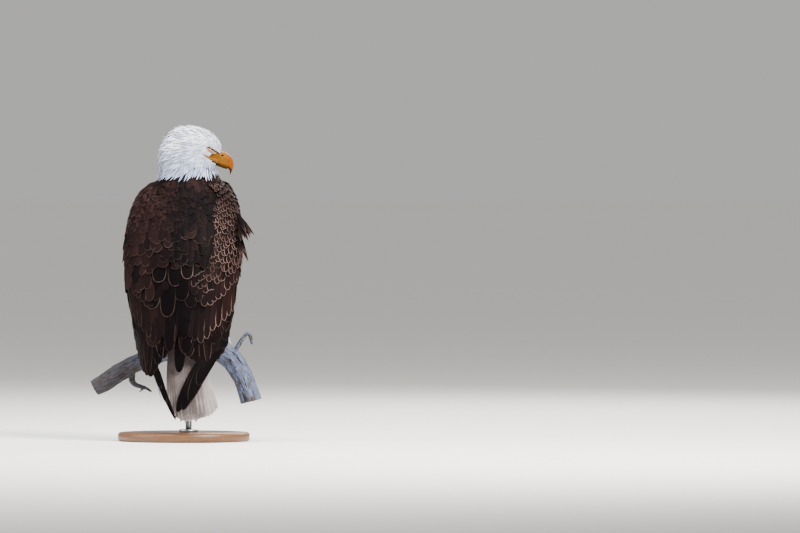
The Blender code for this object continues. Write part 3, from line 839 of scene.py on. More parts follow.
# The wings seen from behind: a smooth sheet that flat feathers are laid on.
sheetPlan = {
    "half": 0.126,  # how far it reaches to both sides
    "columns": 43,
    "heights": (0.52, 0.149, -0.01),  # from, to and step
    "ridge": 0.028,  # nearer the middle it is level with the wings beside it
    "drop": 0.004,  # a deeper step than this is bridged
    "bendWithin": 0.036,
    "bend": 0.0006,  # the long feathers' ends bend in towards the tail
    "over": 0.0005,
    "rounds": 3,
}


def fromBehind(place, height):
    return skinTree.ray_cast(Vector((place, -1, height)), Vector((0, 1, 0)))[0]


def makeBackSheet():
    # The wings' surface seen from behind, bridged between them and run on below their ends.
    plan = sheetPlan
    across = np.linspace(-plan["half"], plan["half"], plan["columns"])
    heights = np.arange(*plan["heights"])
    sheet = np.full((len(heights), len(across)), np.nan)
    for i, height in enumerate(heights):
        for j, place in enumerate(across):
            hit = fromBehind(math.copysign(max(abs(place), plan["ridge"]), place), height)
            ahead = None if i < 2 else 2 * sheet[i - 1, j] - sheet[i - 2, j]
            if ahead is not None and abs(place) < plan["bendWithin"]:
                ahead += plan["bend"]
            bridged = hit is None or (ahead is not None and hit.y > ahead + plan["drop"])
            sheet[i, j] = ahead if bridged else hit.y
            ridge = fromBehind(place, height)
            if ridge is not None:
                sheet[i, j] = min(sheet[i, j], ridge.y - plan["over"])
    for _ in range(plan["rounds"]):
        inner = sheet[1:-1, 1:-1]
        inner[:] = (inner * 2 + sheet[:-2, 1:-1] + sheet[2:, 1:-1] + sheet[1:-1, :-2]
                    + sheet[1:-1, 2:]) / 6
    return across, heights, sheet


sheetAcross, sheetHeights, backSheet = makeBackSheet()


def onSheet(place, height):
    column = np.interp(place, sheetAcross, np.arange(len(sheetAcross)))
    row = np.interp(-height, -sheetHeights, np.arange(len(sheetHeights)))
    i, j = min(int(row), len(sheetHeights) - 2), min(int(column), len(sheetAcross) - 2)
    r, c = row - i, column - j
    return ((backSheet[i, j] * (1 - c) + backSheet[i, j + 1] * c) * (1 - r)
            + (backSheet[i + 1, j] * (1 - c) + backSheet[i + 1, j + 1] * c) * r)


# Loose tracts, with the roots spread evenly: head, neck, mantle, breast, belly and legs.
wayPlan = {
    "rise": 0.080,  # from the neck's base up, feathers turn from down to back
    "orbit": (0.013, 0.020),  # distances from an eye's middle that they part round it
    "gape": (0.003, 0.009),  # distances from the mouth's corner that they run along it
    "front": (0.054, 0.060),  # before the eye they run up over the brow
    "overBrow": (0.002, 0.006),
    "low": (0.26, 0.36),  # heights where the body's feathers turn in below
}


def headWays(points):
    # Back and down, parting round each eye.
    high = np.clip((points[:, 2] - neckBase) / wayPlan["rise"], 0, 1)[:, None]
    back, rise = np.array(face), np.array(up)
    ways = -back * (0.12 + 0.88 * high) - rise * (1.05 - 0.95 * high)
    for side, centre in eyeSpots.items():
        gap = points - centre
        reach = np.linalg.norm(gap, axis=1, keepdims=True)
        across = np.array(eyeFrame(side)[2])
        level = (gap @ across)[:, None] / np.maximum(reach, 1e-6)
        push = across * np.clip(level * 2.5, -0.8, 0.8) + gap / np.maximum(reach, 1e-6) * 0.3
        ways = ways + push * (1 - blend(*wayPlan["orbit"], reach))
    f, u, _ = headPlace(points)
    along = rise * np.where(u > gapeHeight(f), 0.50, -0.10)[:, None] - back
    ways = ways + (along - ways) * (1 - blend(*wayPlan["gape"], offGape(points)))[:, None]
    front = blend(*wayPlan["front"], f) * blend(*wayPlan["overBrow"], u - loreTop(f))
    return ways + (rise * 0.8 - back * 0.6 - ways) * front[:, None]


def bodyWays(points):
    away = unit((points - np.array([headCentre.x * 0.6, 0.02, 0])) * (1, 1, 0))
    low = 1 - blend(*wayPlan["low"], points[:, 2])[:, None]
    return away * 0.5 * (1 - low) + np.array((0, -0.7, 0)) * low - np.array(up)


def ventWays(points):
    return np.tile((0.0, -0.8, -0.6), (len(points), 1))


gapeLine = ((0.0313, -0.0010, 0.0020), (0.0420, -0.0055, 0.0030), (0.0520, -0.0095, 0.0045),
            (0.0600, -0.0118, 0.0060), (0.0675, -0.0140, 0.0062))  # forward, up, half height


def offGape(points):
    # How far points on either cheek are beyond the mouth's fleshy corner, in metres.
    f, u, _ = headPlace(points)
    nearest = np.full(len(points), 1.0)
    for (fa, ua, ha), (fb, ub, hb) in zip(gapeLine, gapeLine[1:]):
        run = (fb - fa) ** 2 + (ub - ua) ** 2
        share = np.clip(((f - fa) * (fb - fa) + (u - ua) * (ub - ua)) / run, 0, 1)
        gap = np.hypot(f - fa - share * (fb - fa), u - ua - share * (ub - ua))
        nearest = np.minimum(nearest, gap - ha - share * (hb - ha))
    return nearest


def gapeHeight(f):
    # Height of the mouth's corner on the cheek, at places forward on the head.
    return np.interp(f, [row[0] for row in gapeLine], [row[1] for row in gapeLine])


barePlan = {
    "underBrow": 0.0022,  # the bare patch's upper edge lies this far over the painted one
    "mouth": (0.0018, 0.050, 0.075),  # half height and reach of the bare line behind the bill
    "front": (0.0690, -0.026),  # no feathers grow further forward and higher than this
    "lid": (78, -42, 17, 0.0180),  # half length, lowest and highest in degrees, and reach
}


def loreBack(u):
    # How far back the bare patch before the eye reaches, at heights on the head.
    return 0.0480 + 0.80 * np.clip(u, -0.009, 0.010)


def loreTop(f):
    # Upper edge of the bare patch before the eye, under the brow.
    return 0.0112 - 0.62 * (f - 0.058)


def offMouth(points):
    # How far points are over the line where the bill's halves meet, run on back.
    f, u, _ = headPlace(points)
    return u + 0.0158 + 0.42 * (f - 0.0525)


def bareLid(points, side):
    # The lids' bare skin round the slit, much deeper below it than above.
    half, lowest, highest, reach = barePlan["lid"]
    near = np.linalg.norm(points - eyeSpots[side], axis=1) < reach
    turn, rise = offSlit(points, side)
    bend = np.clip(1 - np.abs(turn / half) ** eyePlan["bow"], 0, 1)
    return near & (np.abs(turn) < half) & (rise < highest * bend - 4) & (rise > lowest * bend - 2)


def bareFace(points):
    f, u, _ = headPlace(points)
    high, back, ahead = barePlan["mouth"]
    bare = (np.abs(offMouth(points)) < high) & (f > back) & (f < ahead)
    underBrow = u < loreTop(f) + barePlan["underBrow"]
    bare |= underBrow & (f > loreBack(u)) & (u > gapeHeight(f))
    bare |= underBrow & (f > barePlan["front"][0]) & (u > barePlan["front"][1])
    return bare | bareLid(points, "left") | bareLid(points, "right") | (offGape(points) < 0)


# Gaps between roots in each tract, 0 where it has no feathers. Places are a turn from the back
# to either side in degrees, a height, and how far aside and back a point is.
gapPlan = {
    # narrowest, how much wider below, and the heights between which it widens
    "head": (0.0043, 0.0019, neckBase + 0.07, neckBase),
    "mantle": (0.0062, 0.003, 0.66, 0.62),
    "breast": (0.0072, 0.0035, 0.60, 0.45),
}
tractEdges = {
    "faceGap": 0.0017,
    "mantle": (0.612, 0.003, 165),  # lowest, how far under the white, and turn
    "breast": (133, 33, 0.44, 0.41, 0.002),  # turn, less below, heights of that, under the white
    "belly": (0.33, 95),  # highest and turn
    "ventTop": 0.30,
    "vent": (-0.035, -0.080, 0.285, 0.045),  # ahead, back, highest and half width
    "ventGap": 0.0085,
    "under": (0.235, 0.345, 100, 0.008, 0.094, 0.02),  # heights, turn, inside, half width, back
    "underGap": 0.013,
}


def widening(tract, heights):
    narrow, wider, high, low = gapPlan[tract]
    return narrow + wider * blend(high, low, heights)


def headGap(points):
    gap = widening("head", points[:, 2])
    gap += (tractEdges["faceGap"] - gap) * faceNearness(points)
    return np.where(bareFace(points) | (points[:, 2] < skinPlan["whiteFrom"]), 0, gap)


def bodyPlace(points):
    return (np.abs(np.degrees(angleOf(points))), points[:, 2], np.abs(points[:, 0]), points[:, 1])


def mantleGap(points):
    turn, height, *_ = bodyPlace(points)
    lowest, under, most = tractEdges["mantle"]
    high = (height > lowest) & (height < skinPlan["whiteFrom"] + under)
    return np.where(high & (turn < most), widening("mantle", height), 0)


def breastGap(points):
    turn, height, _, back = bodyPlace(points)
    least, less, high, low, under = tractEdges["breast"]
    belly, flank = tractEdges["belly"]
    front = (turn > least - less * blend(high, low, height)) & (height > belly)
    below = (height <= belly) & (turn > flank)
    vent = (back < tractEdges["vent"][0]) & (height < tractEdges["ventTop"])
    inside = (front | below) & ~vent & (height < skinPlan["whiteFrom"] - under)
    return np.where(inside, widening("breast", height), 0)


def ventGap(points):
    _, height, aside, back = bodyPlace(points)
    ahead, behind, highest, half = tractEdges["vent"]
    inside = (back < ahead) & (back > behind) & (height < highest) & (aside < half)
    return np.where(inside, tractEdges["ventGap"], 0)


def underGap(points):
    # Inner faces of the folded wings and the flanks behind the legs.
    turn, height, aside, back = bodyPlace(points)
    lowest, highest, most, inside, half, ahead = tractEdges["under"]
    sheet = np.array([onSheet(p[0], p[2]) if abs(p[0]) < sheetPlan["half"] else -0.05
                      for p in points])
    hidden = (height > lowest) & (height < highest) & (turn <= most) & (back > sheet + inside)
    hidden &= (aside < half) & (back < ahead) & (ventGap(points) == 0)
    return np.where(hidden, tractEdges["underGap"], 0)


brownTract = {"ways": bodyWays, "shape": "contour", "length": 3.4, "width": 1.8, "stray": 9,
              "cell": 0.008, "tries": 60000, "coat": "brown"}
looseTracts = {
    "headFeathers": {
        "gap": headGap, "ways": headWays, "shape": "hackle", "length": 5.3, "width": 1.30,
        "lift": (-0.0004, 0.11), "stray": 8, "tone": (0.35, 1.0), "edge": 0.0, "cool": (0, 0.3),
        "cell": 0.005, "tries": 140000, "coat": "white"},
    "mantleFeathers": dict(brownTract, gap=mantleGap, width=1.75, lift=(0.0, 0.10), stray=18,
                           tone=(0.05, 0.85), edge=0.05, cool=(0, 0.6)),
    "breastFeathers": dict(brownTract, gap=breastGap, lift=(0.0, 0.15), tone=(0.15, 0.8), edge=0.3,
                           cool=(0, 0.4)),
    "underFeathers": dict(brownTract, gap=underGap, length=3.2, width=1.9, lift=(0.0, 0.05),
                          stray=7, tone=(0.05, 0.4), edge=0.1, cool=(0.2, 0.7), cell=0.010),
    "ventFeathers": dict(brownTract, gap=ventGap, ways=ventWays, width=2.0, lift=(0.0, 0.06),
                         stray=8, tone=(0.4, 0.9), edge=0.0, cool=(0, 0.4), coat="white"),
}
hacklePlan = {
    "trims": (0.6, 0.35),  # lengths that feathers over bare skin are cut back to, in turn
    "checked": (-1, 3),  # points of each feather that may not lie over bare skin
    "collar": (0.045, 0.012),  # heights over the neck's base where the lowest ones stand off
    "collarLift": (0.0012, 0.0042),
    "faceLift": 0.0007,
    "ruffle": (0.0035, 0.0050),  # how far a few stand up, and how much more on the nape
    "nape": (0.022, -0.020),
    # painted shade, deeper lower on the head: the cheek, nape and lower hackles turn bluish grey
    "shadeLower": ((0.28, 0.772, 0.735), (0.34, 0.735, 0.690)),  # share, and heights from and to
    "narrower": (0.22, 0.735, 0.700),
    # painted shade between clumps: a share of the lower head's feathers are much darker
    "shadeStreaks": (0.30, 0.795, 0.765),
    "shadeStreakTone": 0.30,
}


def cutShort(lines, normals, lengths, widths):
    # Feathers that would end on the eye or the bare skin by the mouth are cut short or left out.
    def overBare():
        return np.any([bareFace(lines[:, k]) for k in hacklePlan["checked"]], axis=0)

    for trim in hacklePlan["trims"]:
        over = overBare()
        lines[over] = lines[over, :1] + (lines[over] - lines[over, :1]) * trim
        for i in np.flatnonzero(over):
            for k in range(lines.shape[1]):
                lines[i, k], normals[i, k] = skinTree.find_nearest(Vector(lines[i, k]))[:2]
        lengths[over] *= trim
        widths[over] *= 0.5 + trim / 2
    return ~overBare()


def coatLoosely(name, plan):
    hackles = plan["shape"] == "hackle"
    roots, normals = scatter(skin, plan["gap"], plan["tries"])
    count = len(roots)
    gaps = np.maximum(plan["gap"](roots), 0.0015)
    ways = plan["ways"](roots)
    ways = unit(ways - normals * np.sum(ways * normals, axis=1, keepdims=True))
    ways = turned(ways, normals, chance.normal(0, plan["stray"], count))
    lengths = gaps * plan["length"] * varied(count, 0.85, 1.2)
    widths = gaps * plan["width"] * varied(count, 0.88, 1.12)
    lines, normals = layLines(roots, ways, lengths, plan["shape"])
    if hackles:
        kept = cutShort(lines, normals, lengths, widths)
        roots, lines, normals, lengths, widths = (
            each[kept] for each in (roots, lines, normals, lengths, widths))
        count = len(roots)
    low, high = plan["lift"]
    lifts = perFeather(count, low, lengths * high * varied(count, 0.8, 1.2))
    heights, paintedShade = roots[:, 2], 0.0
    if hackles:
        more = hacklePlan
        low = blend(*(neckBase + over for over in more["collar"]), heights)
        lifts[:, 1] += more["collarLift"][1] * low * varied(count, 0.7, 1.3)
        lifts[:, 0] += more["collarLift"][0] * low
        # Painted shade: the lower hackles get more of the bluish cool tone.
        paintedShade = sum(share * blend(*reach, heights) for share, *reach in more["shadeLower"])
        near, behind = faceNearness(roots), blend(*more["nape"], headPlace(roots)[0])
        lifts += more["faceLift"] * near[:, None]
        lifts[:, 1] += (more["ruffle"][0] + more["ruffle"][1] * behind) * chance.random(
            count) ** 3 * (1 - near)
        share, *reach = more["narrower"]
        widths *= 1 - share * blend(*reach, heights)
    tones = varied(count, *plan["tone"])
    if hackles:
        # Painted shade between clumps: some lower feathers are much darker.
        share, *reach = hacklePlan["shadeStreaks"]
        dark = chance.random(count) < share * blend(*reach, heights)
        tones = tones * np.where(dark, hacklePlan["shadeStreakTone"], 1.0)
    marks = perFeather(count, tones, plan["edge"] * varied(count, 0.5, 1.2),
                       varied(count, *plan["cool"]) + paintedShade)
    print(name, count)
    return vanes(name, lines, normals, widths, lifts, marks, plan["shape"], plan["cell"])


for name, plan in looseTracts.items():
    finished(coatLoosely(name, plan), whiteVane if plan["coat"] == "white" else brownVane,
             plan["coat"] + "_feathers")
colourSkin()


# Charts over the body: a turn round it (0 the back, 90 its right side) and a height.
bodyAxis = Vector((0.0, axisBack, 0.0))


def outwardAt(turn):
    angle = math.radians(turn)
    return Vector((math.sin(angle), -math.cos(angle), 0))


def onBody(turn, height):
    out = outwardAt(turn)
    return skinTree.ray_cast(bodyAxis + up * height + out * 0.5, -out)[:2]


def onSkinOrNear(turn, height):
    hit, normal = onBody(turn, height)
    if hit is not None:
        return hit, normal
    return skinTree.find_nearest(bodyAxis + up * height + outwardAt(turn) * 0.13)[:2]


def downWay(turn, normal, lean):
    # Down the body, leaned by that many degrees towards the middle of the back.
    angle, lean = math.radians(turn), math.radians(lean)
    inward = Vector((-math.cos(angle), -math.sin(angle), 0)) * math.copysign(1, turn)
    way = inward * math.sin(lean) - up * math.cos(lean)
    return (way - normal * way.dot(normal)).normalized()


def onTable(table, value):
    return float(np.interp(value, *zip(*table)))


def pace(table, height):
    # Value at a height, from (height, value) pairs that go down.
    return onTable([(-level, value) for level, value in table], -height)


def lattice(plan):
    # Rows of roots down a tract, each row half a step off the last.
    roots, ways, sizes, spots = [], [], [], []
    height, odd = plan["rowsFrom"], False
    while height > plan["rowsTo"]:
        gap, width = pace(plan["gap"], height), pace(plan["width"], height)
        pitch = math.degrees(width * plan["pack"] / plan["radius"])
        turn = plan["turns"][0] + (pitch / 2 if odd else 0)
        while turn < plan["turns"][1]:
            wander = chance.normal(0, plan["wander"], 2)
            place = turn + wander[0] * pitch
            slope = pace(plan["slope"], height)
            level = height + slope * plan["radius"] * math.radians(abs(place) - 90)
            level += wander[1] * gap
            if plan["inside"](place, level):
                hit, normal = onBody(place, level)
                if hit is not None:
                    roots.append(hit)
                    ways.append(downWay(place, normal, plan["lean"](place)))
                    sizes.append((width, gap))
                    spots.append((place, level))
            turn += pitch
        height -= gap
        odd = not odd
    return np.array(roots), np.array(ways), np.array(sizes), np.array(spots)


flareTurns = (58, 82)  # between these the feathers begin to stand off at the wing's edge


def coatTract(name, plan):
    roots, ways, sizes, spots = lattice(plan)
    count = len(roots)
    ways = turned(ways, unit(roots - np.array(bodyAxis)), chance.normal(0, plan["stray"], count))
    loose = plan["wander"]
    lengths = sizes[:, 1] * plan["layers"] * varied(count, 0.96 - loose, 1.06 + loose)
    widths = sizes[:, 0] * varied(count, 0.96 - loose, 1.04 + loose)
    lines, normals = layLines(roots, ways, lengths, plan["shape"])
    lifts = perFeather(count, *plan["lift"])
    high, low, more = plan["over"]  # feathers laid over the inner ones stand a little higher
    above = more * blend(high, low, spots[:, 0] if high > 1 else spots[:, 1])
    lifts += above[:, None] * (0.8, 1.0)
    flare = plan["flare"] * blend(*flareTurns, np.abs(spots[:, 0]))
    lifts += flare[:, None] * (0.3, 1.0)
    lifts += chance.normal(0, 0.0003 + 0.002 * loose, lifts.shape) * (0.3, 1.0)
    edges = np.array([plan["edge"](*spot) for spot in spots]) * varied(count, 0.7, 1.1)
    cool = np.array([plan["cool"](*spot) for spot in spots]) + chance.normal(0, loose, count)
    marks = perFeather(count, np.clip(chance.normal(plan["tone"], 0.15, count), 0, 1), edges,
                       np.clip(cool, 0, 0.9))
    print(name, count)
    return vanes(name, lines, normals, widths, lifts, marks, plan["shape"], plan["cell"])


# Where the right wing's pale-edged coverts begin beside the scapulars, and where they end.
covertsFrom = ((0.38, 20), (0.42, 23), (0.45, 26), (0.48, 36), (0.50, 44), (0.53, 57), (0.56, 63),
               (0.58, 69), (0.60, 76), (0.63, 92))  # height, turn
medianTips = ((14, 0.385), (24, 0.374), (36, 0.345), (44, 0.343), (52, 0.357), (61, 0.366),
              (71, 0.395), (90, 0.405), (128, 0.365))  # turn, height
greaterTips = ((14, 0.285), (25, 0.265), (35, 0.258), (45, 0.280), (53, 0.292), (64, 0.313),
               (80, 0.338), (100, 0.350), (128, 0.360))


def fade(low, high, value):
    return float(blend(low, high, value))


rightCoverts = {
    "turns": (12, 142), "rowsFrom": 0.74, "rowsTo": 0.37, "radius": 0.145, "pack": 0.74,
    "gap": ((0.65, 0.0070), (0.55, 0.0120), (0.45, 0.0175), (0.38, 0.022)),
    "width": ((0.65, 0.0080), (0.55, 0.0125), (0.45, 0.0170), (0.38, 0.020)),
    "slope": ((0.65, 0.30), (0.45, 0.60), (0.38, 0.75)),
    "inside": lambda turn, level: (level < 0.652 and turn > onTable(covertsFrom, level)
                                   and level - 0.060 > onTable(medianTips, turn)),
    "lean": lambda turn: 8 + 0.18 * turn,
    "shape": "covert", "stray": 4, "layers": 2.9, "lift": (0.0, 0.0046), "over": (45, 22, 0.0032),
    "tone": 0.28, "flare": 0.0045,
    "edge": lambda turn, level: ((0.45 + 0.45 * fade(30, 70, turn)) * fade(12, 24, turn)
                                 * (1 - 0.55 * fade(0.53, 0.62, level))),
    "cool": lambda turn, level: 0.15 + 0.5 * fade(65, 25, turn),
    "cell": 0.010, "wander": 0.055,
}
leftCoverts = dict(
    rightCoverts, turns=(-142, -30), tone=0.70, flare=0.001, wander=0.12, over=(0.5, 0.45, 0.0),
    inside=lambda turn, level: (level < 0.640 and turn < -42
                                and level - 0.060 > onTable(medianTips, -turn)),
    edge=lambda turn, level: (0.22 + 0.68 * fade(-70, -92, turn)) * (
        1 - 0.8 * fade(0.54, 0.60, level)),
    cool=lambda turn, level: 0.3 * fade(-90, -60, turn))
scapulars = {
    "turns": (-98, 92), "rowsFrom": 0.66, "rowsTo": 0.40, "radius": 0.140, "pack": 0.70,
    "gap": ((0.66, 0.0075), (0.60, 0.0125), (0.54, 0.019), (0.45, 0.025)),
    "width": ((0.66, 0.0105), (0.60, 0.0165), (0.54, 0.025), (0.45, 0.032)),
    "slope": ((0.65, 0.0), (0.45, -0.12)),
    "inside": lambda turn, level: (turn < onTable(covertsFrom, level) + 4
                                   and (0.425 if turn < -40 else 0.485) < level
                                   and level < 0.632 + 0.022 * (turn < -45)),
    "lean": lambda turn: 3 if -25 < turn < 20 else 9,
    "shape": "contour", "stray": 9, "layers": 2.8, "lift": (0.0008, 0.0062),
    "over": (0.575, 0.535, 0.0042), "tone": 0.42, "flare": 0.0,
    "edge": lambda turn, level: (0.22 - 0.08 * fade(-40, 0, turn)) * (
        1 - 0.8 * fade(0.54, 0.60, level)),
    "cool": lambda turn, level: 0.15 + 0.70 * fade(-70, 10, turn),
    "cell": 0.012, "wander": 0.17,
}

for name, plan in (("rightCovertFeathers", rightCoverts), ("leftCovertFeathers", leftCoverts),
                   ("scapularFeathers", scapulars)):
    finished(coatTract(name, plan), brownVane, "brown_feathers")


# Flight feathers of the folded wings, laid from the coverts down to their tips.
wingFans = {
    # sideways place and height of each root and tip, from the outer edge to the middle
    "right": {"roots": ((0.108, 0.360), (0.096, 0.400), (0.060, 0.44), (0.018, 0.45)),
              "tips": ((0.117, 0.300), (0.116, 0.262), (0.110, 0.230), (0.096, 0.207),
                       (0.082, 0.194), (0.066, 0.193), (0.050, 0.200), (0.034, 0.208),
                       (0.020, 0.222))},
    "left": {"roots": ((-0.108, 0.365), (-0.096, 0.400), (-0.060, 0.44), (-0.018, 0.45)),
             "tips": ((-0.117, 0.305), (-0.114, 0.262), (-0.106, 0.222), (-0.092, 0.190),
                      (-0.078, 0.168), (-0.063, 0.163), (-0.047, 0.190), (-0.030, 0.215),
                      (-0.016, 0.232))},
}
wingFanPlan = {"count": 14, "width": 0.036, "rootLift": (0.0015, -0.001), "lift": (0.0032, 0.0036),
               "bow": 0.004, "tone": (0.05, 0.4), "edge": 0.22, "cool": (0.4, 0.8)}
outerPlan = {"count": 10, "turns": (62, 112), "heights": (0.345, 0.372), "lengths": (0.115, 0.135),
             "width": 0.026, "lean": 30, "leave": 0.8, "rootLift": 0.0002, "lift": (0.0022, 0.0010),
             "tone": (0.05, 0.35), "edge": 0.2, "cool": (0.5, 0.8)}
flightCell = 0.04  # side of a flight feather's patch on the unwrap
# Tertials and long inner feathers, laid one by one: root and tip (sideways place, height), width,
# height over the wing, tone, edge and darkness.
innerFeathers = (
    ((0.062, 0.40), (0.043, 0.206), 0.034, 0.0046, 0.10, 0.05, 0.75),
    ((0.040, 0.42), (0.024, 0.222), 0.034, 0.0050, 0.12, 0.05, 0.80),
    ((0.020, 0.40), (0.005, 0.176), 0.029, 0.0042, 0.10, 0.05, 0.80),
    ((0.026, 0.44), (0.014, 0.257), 0.036, 0.0058, 0.15, 0.08, 0.80),
    ((-0.012, 0.42), (-0.016, 0.227), 0.034, 0.0060, 0.15, 0.12, 0.75),
    ((0.004, 0.45), (-0.002, 0.287), 0.036, 0.0066, 0.15, 0.08, 0.80),
    ((-0.052, 0.40), (-0.060, 0.238), 0.048, 0.0054, 0.55, 0.20, 0.25),
    ((-0.036, 0.42), (-0.032, 0.268), 0.036, 0.0062, 0.35, 0.20, 0.50),
    ((0.032, 0.47), (0.034, 0.335), 0.036, 0.0066, 0.20, 0.15, 0.75),
    ((-0.054, 0.47), (-0.064, 0.332), 0.044, 0.0068, 0.12, 0.45, 0.80),
    ((-0.022, 0.47), (-0.024, 0.312), 0.040, 0.0070, 0.12, 0.25, 0.80),
    ((0.008, 0.48), (0.011, 0.352), 0.040, 0.0074, 0.12, 0.20, 0.80),
    ((-0.042, 0.50), (-0.047, 0.398), 0.038, 0.0076, 0.15, 0.45, 0.70),
    ((-0.010, 0.50), (-0.006, 0.388), 0.035, 0.0080, 0.15, 0.35, 0.75),
    ((0.020, 0.51), (0.024, 0.406), 0.032, 0.0078, 0.20, 0.60, 0.60),
)
innerLifts = (0.0035, 0.0012)  # how much lower than that height their roots and tips lie
covertRows = {
    # single rows of long narrow coverts over the flight feathers
    "greater": {"tips": greaterTips, "count": 16, "width": 0.0185, "up": 0.088, "length": 0.100,
                "lift": (0.0010, 0.0050), "over": 0.0020, "shape": "flight"},
    "median": {"tips": medianTips, "count": 19, "width": 0.0205, "up": 0.056, "length": 0.062,
               "lift": (0.0008, 0.0058), "over": 0.0022, "shape": "covert"},
}
rowPlan = {"turns": (20, 128), "lean": (4, 0.12), "tone": (0.25, 0.6), "inner": (50, 26),
           "edge": {"right": 0.7, "left": 0.25}, "edgeTurns": (20, 50), "cool": (0.15, 0.55),
           "coolTurns": (75, 30), "cell": 0.03}


def fanPoints(rows, count):
    # Places shared out evenly along a few given ones.
    rows = np.array(rows, float)
    share = np.linspace(0, len(rows) - 1, count)
    return np.stack([np.interp(share, np.arange(len(rows)), rows[:, k]) for k in (0, 1)], axis=1)


def sheetLines(roots, tips, bow=0.0, aside=0.006, rise=0.01):
    # Middle lines and outward directions of feathers laid flat on the back sheet.
    lines, normals = [], []
    for root, tip in zip(roots, tips):
        for reach in featherPlans["flight"]["reach"]:
            place = root[0] + (tip[0] - root[0]) * reach + bow * math.sin(math.pi * reach)
            height = root[1] + (tip[1] - root[1]) * reach
            lines.append((place, onSheet(place, height), height))
            slope = (onSheet(place + aside, height) - onSheet(place - aside, height)) / (2 * aside)
            fall = (onSheet(place, height + rise) - onSheet(place, height - rise)) / (2 * rise)
            normals.append((slope, -1.0, fall))
    shape = (len(roots), -1, 3)
    return np.array(lines).reshape(shape), unit(np.array(normals)).reshape(shape)


def flightFan(side):
    fan, plan = wingFans[side], wingFanPlan
    count = plan["count"]
    roots, tips = fanPoints(fan["roots"], count), fanPoints(fan["tips"], count)
    lines, normals = sheetLines(roots, tips, plan["bow"] * sides[side])
    lifts = perFeather(count, *(np.linspace(*plan[key], count) for key in ("rootLift", "lift")))
    marks = perFeather(count, varied(count, *plan["tone"]), plan["edge"],
                       varied(count, *plan["cool"]))
    return vanes("flight" + side, lines, normals, plan["width"], lifts, marks, "flight", flightCell)


def innerLayer():
    roots, tips, widths, lifts, *marks = zip(*innerFeathers)
    lines, normals = sheetLines(roots, tips)
    lifts = perFeather(len(roots), *(np.array(lifts) - lower for lower in innerLifts))
    return vanes("innerFeathers", lines, normals, widths, lifts, perFeather(len(roots), *marks),
                 "flight", flightCell)


def rowLines(side, turns, heights, leans, lengths, kind, leave=0.5):
    # Middle lines of one row over the wing, from roots at turns and heights on it.
    roots, ways = [], []
    for turn, height, lean in zip(turns, heights, leans):
        hit, normal = onSkinOrNear(turn * sides[side], height)
        roots.append(hit)
        ways.append(downWay(turn * sides[side], normal, lean))
    return layLines(roots, ways, lengths, kind, leave)


def covertRow(side, name):
    plan = dict(rowPlan, **covertRows[name])
    count = plan["count"]
    turns = np.linspace(*plan["turns"], count) + chance.normal(0, 0.5, count)
    heights = [onTable(plan["tips"], turn) + plan["up"] for turn in turns]
    leans = plan["lean"][0] + plan["lean"][1] * turns
    lines, normals = rowLines(side, turns, heights, leans,
                              plan["length"] * varied(count, 0.96, 1.04), plan["shape"])
    low, high = plan["lift"]
    lifts = perFeather(count, low, high + plan["over"] * blend(*plan["inner"], turns))
    least, more = plan["cool"]
    marks = perFeather(count, varied(count, *plan["tone"]),
                       plan["edge"][side] * blend(*plan["edgeTurns"], turns),
                       least + blend(*plan["coolTurns"], turns) * more)
    return vanes(name + side, lines, normals, plan["width"], lifts, marks, plan["shape"],
                 plan["cell"])


def outerFan(side):
    # The folded hand: long primaries that run back along the wing's lower edge.
    plan, count = outerPlan, outerPlan["count"]
    turns, heights, lengths, high = (np.linspace(*plan[key], count)
                                     for key in ("turns", "heights", "lengths", "lift"))
    lines, normals = rowLines(side, turns, heights, [plan["lean"]] * count, lengths, "flight",
                              plan["leave"])
    marks = perFeather(count, varied(count, *plan["tone"]), plan["edge"],
                       varied(count, *plan["cool"]))
    return vanes("hand" + side, lines, normals, plan["width"],
                 perFeather(count, plan["rootLift"], high), marks, "flight", flightCell)


for side in sides:
    for row in (outerFan(side), flightFan(side), *(covertRow(side, name) for name in covertRows)):
        finished(row, brownVane, "brown_feathers")
finished(innerLayer(), brownVane, "brown_feathers")


# Wing tips: a few long primaries from the wing's outer edge over the tail.
primaryPaths = {
    "right": ((0.1040, -0.080, 0.290), (0.0960, -0.100, 0.245), (0.0790, -0.120, 0.213),
              (0.0590, -0.1360, 0.182), (0.0400, -0.1460, 0.150), (0.0220, -0.1545, 0.116),
              (0.0060, -0.1620, 0.0775)),
    "left": ((-0.0920, -0.088, 0.270), (-0.0800, -0.106, 0.230), (-0.0660, -0.125, 0.203),
             (-0.0480, -0.139, 0.1735), (-0.0360, -0.1460, 0.142), (-0.0230, -0.1530, 0.1095),
             (-0.0075, -0.160, 0.076), (0.0010, -0.1620, 0.058)),
}
primaryPlan = {
    # for each feather: how far it falls short of the point, its sideways shift and its width
    "right": ((0.000, -0.002, 0.040), (0.006, 0.010, 0.040), (0.030, 0.018, 0.038),
              (0.075, 0.018, 0.038)),
    "left": ((0.000, 0.000, 0.0155), (0.045, -0.004, 0.019), (0.085, -0.006, 0.024)),
    "marks": (0.05, 0.12, 0.7),
    "cell": 0.08,
}


def pathAt(points, reach):
    # Points at shares of a smooth path's length.
    points = np.array(points, float)
    ends = np.vstack([2 * points[0] - points[1], points, 2 * points[-1] - points[-2]])
    fine = []
    for a, b, c, d in zip(ends, ends[1:], ends[2:], ends[3:]):
        for t in np.linspace(0, 1, 12, endpoint=False):
            fine.append((2 * b + (c - a) * t + (2 * a - 5 * b + 4 * c - d) * t ** 2
                         + (3 * b - a - 3 * c + d) * t ** 3) / 2)
    fine = np.array(fine + [points[-1]])
    along = np.concatenate([[0], np.cumsum(np.linalg.norm(np.diff(fine, axis=0), axis=1))])
    return np.stack([np.interp(np.array(reach) * along[-1], along, fine[:, k]) for k in range(3)],
                    axis=1), along[-1]


